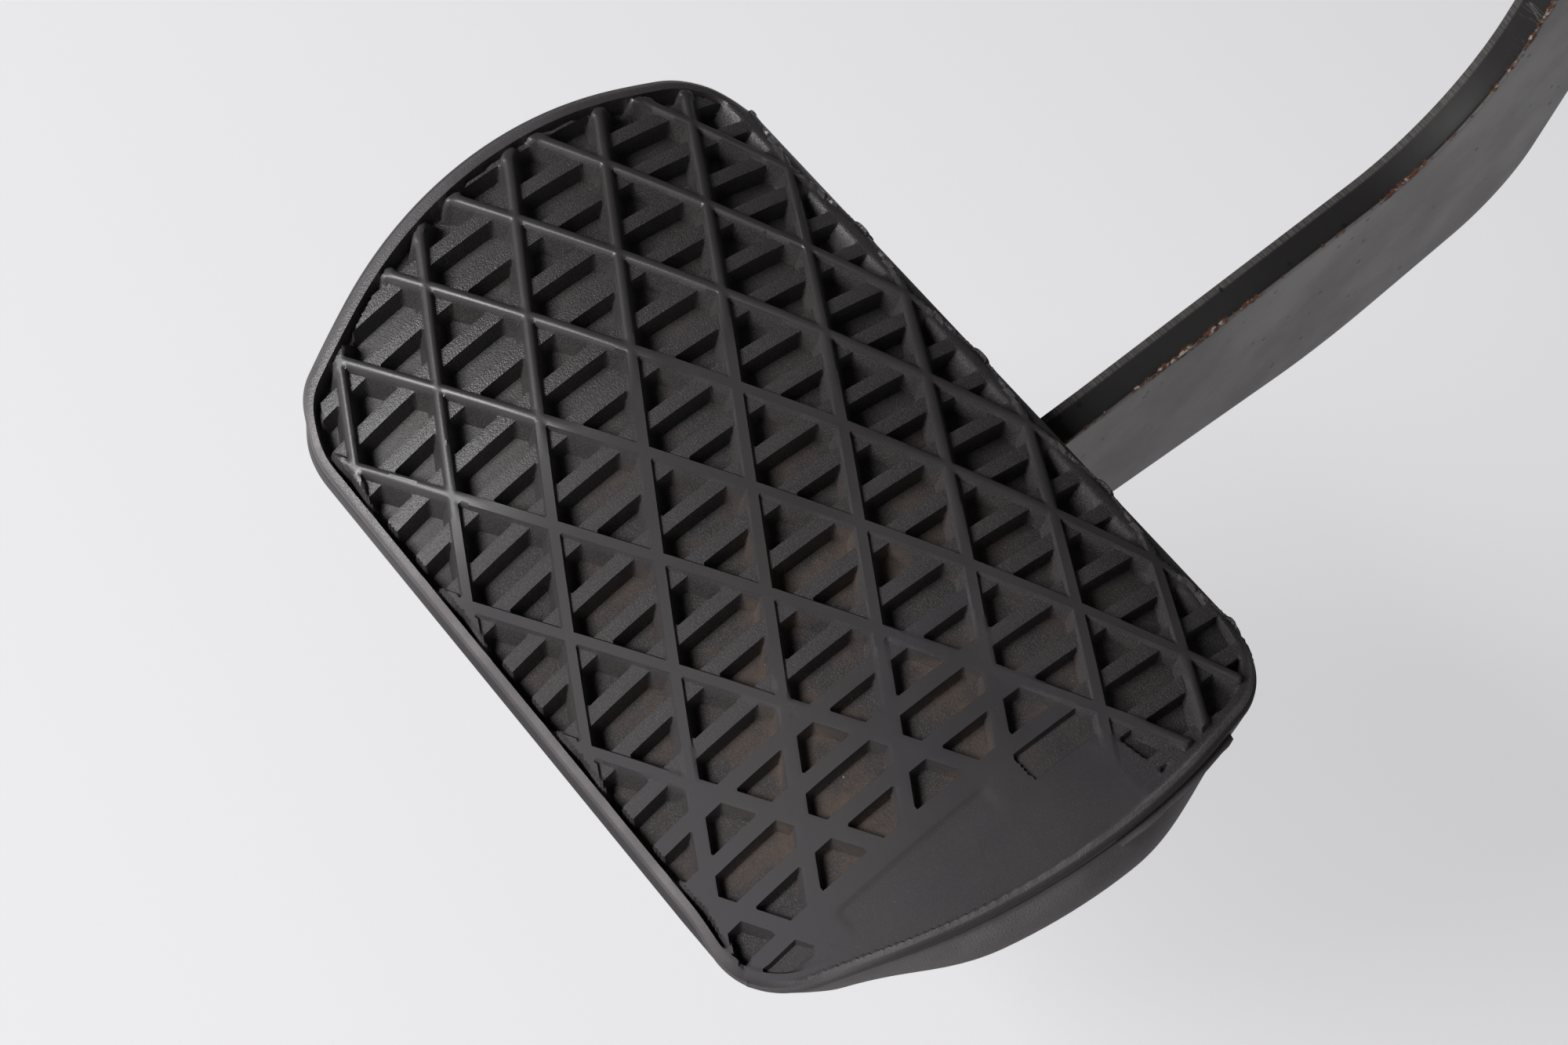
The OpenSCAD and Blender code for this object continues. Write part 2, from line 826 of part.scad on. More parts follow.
module switch_nut(y0) {
  difference() {
    translate([0, y0, switch_up])
      rotate([-90, 0, 0])
        cylinder(d = switch_flats / cos(30), h = switch_nut_h, $fn = 6);
    bar_y(switch_up, barrel_d / 2 + running, y0 - 1, y0 + switch_nut_h + 1);
  }
}

module switch_nuts() {
  color(zinc) {
    switch_nut(rear_y);
    switch_nut(rear_y - sheet_t - switch_nut_h);
  }
}

module switch_plunger() {
  color(white_nylon)
    bar_y(switch_up, plunger_r, barrel_front - plunger_in, plunger_tip);
}

// Pushrod fork

bush_rim = 0.8;

module pushrod_bush() {
  color(white_nylon)
    difference() {
      union() {
        bar_x(pin, pushrod_bush_r, -arm_t / 2, arm_t / 2);
        bar_x(pin, pushrod_bush_r + 2, -arm_t / 2 - bush_rim, -arm_t / 2);
      }
      bar_x(pin, pin_d / 2 + running, -arm_t, arm_t);
    }
}

fork_x = ear_gap / 2 + ear_t;
boss_r = fork_h / 2 - 1;
slot_end = pin[0] + slot_depth;
boss_start = slot_end + 8;
mouth_y = pin[0] + fork_len;
thread_len = fork_len - slot_depth - 4;

module clevis_fork() {
  color(zinc)
    difference() {
      union() {
        intersection() {
          union() {
            bar_x(pin, fork_h / 2, -fork_x, fork_x);
            translate([-fork_x, pin[0], -fork_h / 2])
              cube([2 * fork_x, boss_start - pin[0], fork_h]);
          }
          translate([0, pin[0] - fork_h, 0])
            rotate([-90, 0, 0])
              cylinder(r = fork_x + 2.5, h = 2 * fork_len);
        }
        bar_y(0, boss_r, boss_start - 2, mouth_y);
      }
      translate([-ear_gap / 2, pin[0] - fork_h, -fork_h])
        cube([ear_gap, slot_end - pin[0] + fork_h, 2 * fork_h]);
      bar_x(pin, pin_d / 2 + running, -2 * fork_x, 2 * fork_x);
      bar_y(0, thread_core_d / 2, mouth_y - thread_len, mouth_y + 1);
    }
}

pin_head_h = 3;
clip_d = 1.8;
clip_gap = 2.6;
clip_x = -fork_x - clip_gap;
pin_flange = 2.5;
clip_hole_r = clip_d / 2 + 0.2;

module clevis_pin() {
  color(zinc)
    difference() {
      union() {
        bar_x(pin, pin_d / 2, clip_x - pin_end, fork_x);
        bar_x(pin, pin_d / 2 + pin_flange, fork_x, fork_x + pin_head_h);
      }
      translate([clip_x, pin[0], -pin_d])
        cylinder(r = clip_hole_r, h = 2 * pin_d);
    }
}

// R-shaped clip: one leg through the pin, the other springing around its outside
module clevis_clip() {
  r = clip_d / 2;
  hug = pin_d / 2 + r + 0.1;
  loop_r = hug / 2;
  loop_z = hug + 3;
  path = concat(
    [[clip_x, pin[0], -hug - 3], [clip_x, pin[0], loop_z]],
    [for (a = [15 : 15 : 165])
      [clip_x, pin[0] + loop_r * (1 - cos(a)), loop_z + loop_r * sin(a)]],
    [[clip_x, pin[0] + 2 * loop_r - 0.6, loop_z]],
    [for (a = [40 : -10 : -40]) [clip_x, pin[0] + hug * cos(a), hug * sin(a)]],
    [[clip_x, pin[0] + hug * cos(40) + 2, -hug - 1]]
  );
  color(steel) wire(path, r, [1, 0, 0], 8);
}

left_cheek();
right_cheek();
top_web();
stop_tab();
pivot_bolt();
pivot_washer();
pivot_nut();
spacer_sleeve();
left_bush();
right_bush();
pivot_tube();
pedal_arm();
foot_plate();
rubber_pad();
spring_liner();
return_spring();
stop_buffer();
switch_body();
switch_nuts();
switch_plunger();
pushrod_bush();
clevis_fork();
clevis_pin();
clevis_clip();
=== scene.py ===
"""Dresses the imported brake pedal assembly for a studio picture.

Shows a worn rubber pad on a painted lever, with the bracket and pivot that carry them.
"""

import json
import logging
import math
import random
from dataclasses import dataclass
from enum import Enum

import bpy
import numpy as np
from mathutils import Matrix, Vector
from mathutils.geometry import delaunay_2d_cdt


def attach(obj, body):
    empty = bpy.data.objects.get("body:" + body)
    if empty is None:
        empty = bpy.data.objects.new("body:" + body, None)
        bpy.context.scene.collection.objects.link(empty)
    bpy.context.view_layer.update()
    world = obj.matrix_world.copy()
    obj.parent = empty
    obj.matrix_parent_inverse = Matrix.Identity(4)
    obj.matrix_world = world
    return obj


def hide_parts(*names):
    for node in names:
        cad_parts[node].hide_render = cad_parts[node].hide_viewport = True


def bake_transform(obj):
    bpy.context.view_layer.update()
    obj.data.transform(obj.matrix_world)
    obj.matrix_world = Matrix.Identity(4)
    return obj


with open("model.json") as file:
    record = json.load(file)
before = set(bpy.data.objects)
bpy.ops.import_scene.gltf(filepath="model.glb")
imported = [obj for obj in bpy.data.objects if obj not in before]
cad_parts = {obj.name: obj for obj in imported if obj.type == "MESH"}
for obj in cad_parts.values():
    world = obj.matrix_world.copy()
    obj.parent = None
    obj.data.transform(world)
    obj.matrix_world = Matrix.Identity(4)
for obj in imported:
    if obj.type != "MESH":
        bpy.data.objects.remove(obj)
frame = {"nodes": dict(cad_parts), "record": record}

log = logging.getLogger("pedal")
MM = 0.001
Point2 = tuple[float, float]
Point3 = tuple[float, float, float]
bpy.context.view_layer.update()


class Slot(Enum):
    """Material slots of the record."""

    BRACKET = "bracket_paint"
    LEVER = "lever_paint"
    RUBBER = "pad_rubber"
    ZINC = "zinc_steel"
    SPRING = "spring_steel"
    NYLON = "white_nylon"
    PLASTIC = "black_plastic"


class Body(Enum):
    """Bodies of the record that the pieces made here ride on."""

    BRACKET = "bracket"
    PEDAL = "pedal"


# Outlines and meshes


def smoothstep(x: np.ndarray | float, low: float, high: float) -> np.ndarray:
    """Gives a soft step.

    Args:
        x: Values to judge.
        low: Value at which the step starts from 0.
        high: Value at which it reaches 1.

    Returns:
        The step for each value.
    """
    t = np.clip((x - low) / (high - low), 0.0, 1.0)
    return t * t * (3.0 - 2.0 * t)


def rounded(corners: list[tuple[float, float, float]], arc_points: int = 14) -> np.ndarray:
    """Rounds the corners of an outline.

    Args:
        corners: Corners as (x, y, radius), in order around the outline.
        arc_points: Points on each arc.

    Returns:
        The outline as an array of points.
    """
    out: list[np.ndarray] = []
    count = len(corners)
    for i, (x, y, radius) in enumerate(corners):
        here = np.array((x, y))
        if radius == 0:
            out.append(here)
            continue
        before = np.array(corners[i - 1][:2])
        after = np.array(corners[(i + 1) % count][:2])
        u = (before - here) / np.linalg.norm(before - here)
        w = (after - here) / np.linalg.norm(after - here)
        half = math.acos(float(u @ w)) / 2
        bisector = (u + w) / np.linalg.norm(u + w)
        middle = here + bisector * radius / math.sin(half)
        start = here + u * radius / math.tan(half) - middle
        end = here + w * radius / math.tan(half) - middle
        first = math.atan2(start[1], start[0])
        turn = math.atan2(end[1], end[0]) - first
        turn = (turn + math.pi) % (2 * math.pi) - math.pi
        for k in range(arc_points + 1):
            a = first + turn * k / arc_points
            out.append(middle + radius * np.array((math.cos(a), math.sin(a))))
    return np.array(out)


def resampled(line: np.ndarray, step: float) -> np.ndarray:
    """Spreads points evenly along a closed outline.

    Args:
        line: Outline points.
        step: Distance wanted between points.

    Returns:
        The evenly spread points.
    """
    closed = np.vstack([line, line[:1]])
    run = np.concatenate([[0.0], np.cumsum(np.linalg.norm(np.diff(closed, axis=0), axis=1))])
    count = max(8, int(round(run[-1] / step)))
    at = np.linspace(0.0, run[-1], count, endpoint=False)
    return np.stack([np.interp(at, run, closed[:, k]) for k in (0, 1)], axis=1)


def runs_left(line: np.ndarray) -> bool:
    """Tells whether a closed outline runs anticlockwise."""
    x, y = line[:, 0], line[:, 1]
    return float(np.sum(x * np.roll(y, -1) - y * np.roll(x, -1))) > 0


def outward(line: np.ndarray) -> np.ndarray:
    """Gives the outward direction at each point of a closed outline.

    Args:
        line: Outline points.

    Returns:
        A unit vector for each point.
    """
    tangent = np.roll(line, -1, axis=0) - np.roll(line, 1, axis=0)
    tangent /= np.linalg.norm(tangent, axis=1, keepdims=True)
    normal = np.stack([tangent[:, 1], -tangent[:, 0]], axis=1)
    return normal if runs_left(line) else -normal


def gap_to_line(points: np.ndarray, line: np.ndarray) -> np.ndarray:
    """Gives the distance from each point to the nearest point of a dense outline.

    Args:
        points: Points to judge.
        line: Points along the outline.

    Returns:
        The distances.
    """
    out = np.empty(len(points))
    for start in range(0, len(points), 4000):
        part = points[start : start + 4000]
        gap = np.hypot(part[:, None, 0] - line[None, :, 0], part[:, None, 1] - line[None, :, 1])
        out[start : start + 4000] = gap.min(axis=1)
    return out


def inside(points: np.ndarray, line: np.ndarray) -> np.ndarray:
    """Tells which points lie inside a closed outline.

    Args:
        points: Points to judge.
        line: Outline points.

    Returns:
        True for each point inside.
    """
    x, y = points[:, 0], points[:, 1]
    result = np.zeros(len(points), bool)
    following = np.roll(line, -1, axis=0)
    for (ax, ay), (bx, by) in zip(line, following):
        if ay == by:
            continue
        crosses = (ay > y) != (by > y)
        result ^= crosses & (x < (bx - ax) * (y - ay) / (by - ay) + ax)
    return result


def add_mesh(name: str, verts: np.ndarray, faces: list, body: Body | None) -> bpy.types.Object:
    """Makes a mesh piece from points in metres.

    Args:
        name: Name of the piece.
        verts: Points in the row frame.
        faces: Faces as lists of point numbers.
        body: Body that the piece rides on, or None to leave it on no body.

    Returns:
        The new piece.
    """
    mesh = bpy.data.meshes.new(name)
    mesh.from_pydata([tuple(map(float, v)) for v in verts], [], [tuple(map(int, f)) for f in faces])
    mesh.validate()
    mesh.shade_smooth()
    piece = bpy.data.objects.new(name, mesh)
    bpy.context.scene.collection.objects.link(piece)
    if body is not None:
        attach(piece, body.value)
    log.info("%s: %d faces on %s", name, len(mesh.polygons), body.value if body else "a joint")
    return piece


def add_value(piece: bpy.types.Object, name: str, values: np.ndarray) -> None:
    """Stores one number for each point of a piece.

    Args:
        piece: Piece to mark.
        name: Name that the shaders read.
        values: One value for each point.
    """
    attribute = piece.data.attributes.new(name, "FLOAT", "POINT")
    attribute.data.foreach_set("value", np.asarray(values, np.float32))


def bridge(first: int, second: int, count: int, flip: bool = False) -> list[tuple[int, ...]]:
    """Joins two rings of points by quads.

    Args:
        first: Number of the first ring's first point.
        second: Number of the second ring's first point.
        count: Points in each ring.
        flip: True to turn the faces round.

    Returns:
        The faces.
    """
    out = []
    for k in range(count):
        n = (k + 1) % count
        quad = (first + k, first + n, second + n, second + k)
        out.append(quad[::-1] if flip else quad)
    return out


def swept(path: np.ndarray, radius: np.ndarray, sides: int, up: Point3) -> tuple[np.ndarray, list]:
    """Sweeps a round section along a path.

    Args:
        path: Points along the middle of the wire.
        radius: Radius at each point.
        sides: Points around the section.
        up: Direction that the section starts from.

    Returns:
        Points and faces.
    """
    tangent = np.gradient(path, axis=0)
    tangent /= np.linalg.norm(tangent, axis=1, keepdims=True)
    normal = np.array(up, float)
    verts = []
    for here, along, r in zip(path, tangent, radius):
        normal = normal - along * float(normal @ along)
        normal /= np.linalg.norm(normal)
        side = np.cross(along, normal)
        for k in range(sides):
            a = 2 * math.pi * k / sides
            verts.append(here + r * (math.cos(a) * normal + math.sin(a) * side))
    faces: list = []
    for i in range(len(path) - 1):
        faces += bridge(i * sides, (i + 1) * sides, sides, flip=True)
    faces.append(tuple(range(sides)))
    faces.append(tuple(reversed(range((len(path) - 1) * sides, len(path) * sides))))
    return np.array(verts), faces


# Shader building


class Graph:
    """Wires one node tree, with short calls for the nodes that the finishes share."""

    def __init__(self, tree: bpy.types.NodeTree) -> None:
        """Takes the tree to wire."""
        self.tree = tree

    def add(self, kind: str, **inputs: object) -> bpy.types.Node:
        """Adds a node and sets or links its inputs.

        Args:
            kind: Blender's name of the node type.
            inputs: Input sockets by name, with underscores for blanks.

        Returns:
            The node.
        """
        node = self.tree.nodes.new(kind)
        for name, value in inputs.items():
            self.feed(node.inputs[name.replace("_", " ")], value)
        return node

    def feed(self, socket: bpy.types.NodeSocket, value: object) -> None:
        """Links an output to a socket, or sets the socket's own value.

        Args:
            socket: Input socket.
            value: Output socket to link, or a plain value.
        """
        if isinstance(value, bpy.types.NodeSocket):
            self.tree.links.new(value, socket)
        else:
            socket.default_value = value

    def place(self) -> bpy.types.NodeSocket:
        """Gives the place on the object, in metres."""
        return self.add("ShaderNodeTexCoord").outputs["Object"]

    def noise(self, scale: object, detail: float = 3.0, roughness: float = 0.55) -> bpy.types.NodeSocket:
        """Gives noise from 0 to 1.

        Args:
            scale: Waves in a metre.
            detail: Finer layers.
            roughness: Strength of the finer layers.

        Returns:
            The noise value.
        """
        place = self.place()
        node = self.add("ShaderNodeTexNoise", Vector=place, Scale=scale, Detail=detail, Roughness=roughness)
        return node.outputs[0]

    def math(self, operation: str, a: object, b: object = 0.0, c: object = 0.0) -> bpy.types.NodeSocket:
        """Gives the result of a math node.

        Args:
            operation: Blender's name of the operation.
            a: First value.
            b: Second value.
            c: Third value.

        Returns:
            The result.
        """
        node = self.tree.nodes.new("ShaderNodeMath")
        node.operation = operation
        for socket, value in zip(node.inputs, (a, b, c)):
            self.feed(socket, value)
        return node.outputs[0]

    def span(
        self, value: object, low: float, high: float, to_low: float = 0.0, to_high: float = 1.0
    ) -> bpy.types.NodeSocket:
        """Maps a value from one span to another, with soft ends.

        Args:
            value: Value to map.
            low: Start of the span.
            high: End of the span.
            to_low: Result at the start.
            to_high: Result at the end.

        Returns:
            The mapped value.
        """
        node = self.tree.nodes.new("ShaderNodeMapRange")
        node.interpolation_type = "SMOOTHSTEP"
        for socket, part in zip(node.inputs, (value, low, high, to_low, to_high)):
            self.feed(socket, part)
        return node.outputs[0]

    def mix(self, factor: object, a: object, b: object) -> bpy.types.NodeSocket:
        """Mixes two colours.

        Args:
            factor: Share of the second colour.
            a: First colour.
            b: Second colour.

        Returns:
            The mixed colour.
        """
        node = self.tree.nodes.new("ShaderNodeMix")
        node.data_type = "RGBA"
        for socket, value in zip((node.inputs[0], node.inputs[6], node.inputs[7]), (factor, a, b)):
            self.feed(socket, value)
        return node.outputs[2]

    def stored(self, name: str) -> bpy.types.NodeSocket:
        """Gives a number stored on the mesh."""
        node = self.add("ShaderNodeAttribute")
        node.attribute_name = name
        return node.outputs["Fac"]

    def bump(
        self, height: object, strength: float, distance: float, normal: object = None
    ) -> bpy.types.NodeSocket:
        """Gives a bumped normal.

        Args:
            height: Height from 0 to 1.
            strength: Share of the bump that is applied.
            distance: Height in metres that 1 stands for.
            normal: Normal to start from.

        Returns:
            The normal.
        """
        node = self.add("ShaderNodeBump", Strength=strength, Distance=distance, Height=height)
        if normal is not None:
            self.feed(node.inputs["Normal"], normal)
        return node.outputs[0]

    def effect(self, group: bpy.types.NodeTree, **inputs: object) -> bpy.types.Node:
        """Places a shared effect.

        Args:
            group: The effect's node group.
            inputs: Its inputs by name.

        Returns:
            The group's node.
        """
        node = self.tree.nodes.new("ShaderNodeGroup")
        node.node_tree = group
        for name, value in inputs.items():
            self.feed(node.inputs[name.replace("_", " ")], value)
        return node


class Effects:
    """Shared effects, each built once as a node group that puts out masks and heights."""

    def __init__(self) -> None:
        """Builds every group."""
        self.grain = self.make_grain()
        self.dust = self.make_dust()
        self.scratches = self.make_scratches()
        self.chips = self.make_chips()

    @staticmethod
    def start(
        name: str, inputs: dict[str, float], outputs: list[str]
    ) -> tuple[Graph, bpy.types.Node, bpy.types.Node]:
        """Starts a group with its sockets.

        Args:
            name: Name of the group.
            inputs: Input names with their usual values.
            outputs: Output names.

        Returns:
            The graph, its input node and its output node.
        """
        tree = bpy.data.node_groups.new(name, "ShaderNodeTree")
        for key, value in inputs.items():
            socket = tree.interface.new_socket(name=key, in_out="INPUT", socket_type="NodeSocketFloat")
            socket.default_value = value
        for key in outputs:
            tree.interface.new_socket(name=key, in_out="OUTPUT", socket_type="NodeSocketFloat")
        graph = Graph(tree)
        return graph, tree.nodes.new("NodeGroupInput"), tree.nodes.new("NodeGroupOutput")

    def make_grain(self) -> bpy.types.NodeTree:
        """Builds the fine grain of moulded and painted surfaces.

        Returns:
            The group.
        """
        given_sizes = {"Scale": 3000.0, "Cloud Scale": 90.0}
        graph, given, out = self.start("surface_grain", given_sizes, ["Height", "Cloud"])
        fine = graph.noise(given.outputs["Scale"], 2.0, 0.6)
        cloud = graph.noise(given.outputs["Cloud Scale"], 4.0, 0.6)
        graph.feed(out.inputs["Height"], fine)
        graph.feed(out.inputs["Cloud"], graph.span(cloud, 0.3, 0.7))
        return graph.tree

    def make_dust(self) -> bpy.types.NodeTree:
        """Builds dust that settles in patches, with bright grit in it.

        Returns:
            The group.
        """
        given_sizes = {"Amount": 0.3, "Patch Scale": 40.0, "Grit Scale": 700.0}
        graph, given, out = self.start("dust", given_sizes, ["Dust", "Grit"])
        patches = graph.span(graph.noise(given.outputs["Patch Scale"], 5.0, 0.65), 0.35, 0.75)
        grit = graph.add("ShaderNodeTexVoronoi", Vector=graph.place(), Scale=given.outputs["Grit Scale"])
        near = graph.span(grit.outputs["Distance"], 0.12, 0.02)
        rare = graph.add("ShaderNodeSeparateColor", Color=grit.outputs["Color"])
        chosen = graph.math("GREATER_THAN", rare.outputs[0], 0.93)
        graph.feed(out.inputs["Dust"], graph.math("MULTIPLY", patches, given.outputs["Amount"]))
        speck = graph.math("MULTIPLY", near, chosen)
        graph.feed(out.inputs["Grit"], graph.math("MULTIPLY", speck, given.outputs["Amount"]))
        return graph.tree

    def make_scratches(self) -> bpy.types.NodeTree:
        """Builds thin scratches that run along one axis and break off.

        Returns:
            The group.
        """
        given_sizes = {"Across Scale": 900.0, "Along Scale": 40.0, "Amount": 0.5}
        graph, given, out = self.start("scratches", given_sizes, ["Scratch"])
        parts = graph.add("ShaderNodeSeparateXYZ", Vector=graph.place())
        across = graph.math("MULTIPLY", parts.outputs[0], given.outputs["Across Scale"])
        up = graph.math("MULTIPLY", parts.outputs[2], given.outputs["Along Scale"])
        back = graph.math("MULTIPLY", parts.outputs[1], given.outputs["Along Scale"])
        where = graph.add("ShaderNodeCombineXYZ", X=across, Y=back, Z=up)
        lines = graph.add("ShaderNodeTexNoise", Vector=where.outputs[0], Scale=1.0, Detail=2.0, Roughness=0.7)
        thin = graph.span(graph.math("ABSOLUTE", graph.math("SUBTRACT", lines.outputs[0], 0.5)), 0.02, 0.0)
        gaps = graph.span(graph.noise(120.0, 3.0), 0.5, 0.62)
        broken = graph.math("MULTIPLY", thin, gaps)
        graph.feed(out.inputs["Scratch"], graph.math("MULTIPLY", broken, given.outputs["Amount"]))
        return graph.tree

    def make_chips(self) -> bpy.types.NodeTree:
        """Builds paint chips that are most common where the given edge value is high.

        Returns:
            The group.
        """
        given_sizes = {"Edge": 0.0, "Scale": 500.0, "Reach": 0.35}
        graph, given, out = self.start("paint_chips", given_sizes, ["Chip", "Rim"])
        blot = graph.noise(given.outputs["Scale"], 5.0, 0.7)
        far = graph.noise(60.0, 3.0, 0.6)
        pull = graph.math("MULTIPLY", given.outputs["Edge"], given.outputs["Reach"])
        level = graph.math("ADD", graph.math("MULTIPLY_ADD", far, 0.5, blot), pull)
        graph.feed(out.inputs["Chip"], graph.span(level, 1.06, 1.1))
        graph.feed(out.inputs["Rim"], graph.span(level, 1.0, 1.07))
        return graph.tree


# Finishes


def new_material(name: str) -> tuple[bpy.types.Material, Graph, bpy.types.Node]:
    """Starts a material with a Principled shader.

    Args:
        name: Name of the material.

    Returns:
        The material, its graph and its shader.
    """
    material = bpy.data.materials.new(name)
    material.use_nodes = True
    shader = material.node_tree.nodes["Principled BSDF"]
    return material, Graph(material.node_tree), shader


@dataclass(frozen=True)
class TreadRubber:
    """Moulded rubber that wear has polished and dust has browned, with painted shade, glints and rim
    highlight.
    """

    fresh: Point3 = (0.026, 0.0235, 0.0245)
    polished: Point3 = (0.029, 0.0265, 0.029)
    floor_painted_shade: Point3 = (0.020, 0.018, 0.0185)
    chalk_and_highlight: Point3 = (0.160, 0.146, 0.150)
    dust_brown: Point3 = (0.088, 0.064, 0.050)
    grit_pale: Point3 = (0.42, 0.36, 0.30)
    cloud_pale: Point3 = (0.075, 0.071, 0.075)
    painted_glint_pale: Point3 = (0.11, 0.102, 0.105)
    rough_fresh: float = 0.34
    rough_matte: float = 0.62
    shine_fresh: float = 0.5
    shine_matte: float = 0.22
    grain_depth: float = 0.00012

    def build(self, effects: Effects) -> bpy.types.Material:
        """Builds the material.

        Args:
            effects: Shared effects.

        Returns:
            The material.
        """
        material, g, shader = new_material("tread_rubber")
        wear, depth, dusty = g.stored("wear"), g.stored("depth"), g.stored("dusty")
        grain = g.effect(effects.grain, Scale=2600.0, Cloud_Scale=70.0)
        dust = g.effect(effects.dust, Amount=dusty, Patch_Scale=110.0, Grit_Scale=900.0)
        cloud = grain.outputs["Cloud"]
        base = g.mix(wear, (*self.fresh, 1), (*self.polished, 1))
        # Pocket floors darken with depth: painted shade in the recesses.
        base = g.mix(g.math("MULTIPLY", depth, 0.75), base, (*self.floor_painted_shade, 1))
        lighter = g.mix(0.5, base, (*self.cloud_pale, 1))
        base = g.mix(g.math("MULTIPLY", cloud, 0.28), base, lighter)
        # Pale rim and wall: chalky bloom, with painted highlight on the rim and painted reflection on the
        # right wall.
        chalk_and_highlight_mask = g.math("MULTIPLY", g.stored("pale"), g.span(cloud, 0.0, 1.0, 0.55, 1.0))
        base = g.mix(chalk_and_highlight_mask, base, (*self.chalk_and_highlight, 1))
        # Pale specks on the grained faces are painted glints.
        painted_glint = g.math("MULTIPLY", g.span(g.noise(6500.0, 1.0, 0.5), 0.48, 0.66), g.stored("stipple"))
        base = g.mix(g.math("MULTIPLY", painted_glint, 0.4), base, (*self.painted_glint_pale, 1))
        base = g.mix(dust.outputs["Dust"], base, (*self.dust_brown, 1))
        base = g.mix(dust.outputs["Grit"], base, (*self.grit_pale, 1))
        g.feed(shader.inputs["Base Color"], base)
        rough = g.span(g.stored("matte"), 0.0, 1.0, self.rough_fresh, self.rough_matte)
        rough = g.math("ADD", rough, g.math("MULTIPLY", depth, 0.15))
        rough = g.math("ADD", rough, g.math("MULTIPLY", cloud, 0.07))
        rough = g.math("ADD", rough, g.math("MULTIPLY", dust.outputs["Dust"], 0.3))
        g.feed(shader.inputs["Roughness"], rough)
        coarse = g.noise(4200.0, 2.0, 0.6)
        stipple = g.math("MULTIPLY", coarse, g.stored("stipple"))
        normal = g.bump(stipple, 0.9, self.grain_depth)
        normal = g.bump(grain.outputs["Height"], 0.25, 0.00004, normal)
        scratch = g.effect(effects.scratches, Across_Scale=420.0, Along_Scale=160.0, Amount=0.6)
        normal = g.bump(g.math("MULTIPLY", scratch.outputs["Scratch"], wear), -0.4, 0.00005, normal)
        g.feed(shader.inputs["Normal"], normal)
        shine = g.span(g.stored("matte"), 0.0, 1.0, self.shine_fresh, self.shine_matte)
        g.feed(shader.inputs["Specular IOR Level"], shine)
        return material


@dataclass(frozen=True)
class MouldedStock:
    """Plain rubber, plastic or nylon with a fine moulded grain."""

    name: str
    colour: Point3
    roughness: float
    grain_scale: float = 2500.0
    grain_depth: float = 0.00003
    dust: float = 0.12
    dust_grey: Point3 = (0.24, 0.21, 0.18)

    def build(self, effects: Effects) -> bpy.types.Material:
        """Builds the material.

        Args:
            effects: Shared effects.

        Returns:
            The material.
        """
        material, g, shader = new_material(self.name)
        grain = g.effect(effects.grain, Scale=self.grain_scale, Cloud_Scale=110.0)
        dust = g.effect(effects.dust, Amount=self.dust, Patch_Scale=90.0)
        r, gr, b = self.colour
        darker = (r * 0.72, gr * 0.70, b * 0.68, 1)
        base = g.mix(grain.outputs["Cloud"], (r, gr, b, 1), darker)
        base = g.mix(dust.outputs["Dust"], base, (*self.dust_grey, 1))
        g.feed(shader.inputs["Base Color"], base)
        rough = g.math("MULTIPLY_ADD", grain.outputs["Cloud"], 0.12, self.roughness)
        g.feed(shader.inputs["Roughness"], rough)
        g.feed(shader.inputs["Normal"], g.bump(grain.outputs["Height"], 0.4, self.grain_depth))
        return material


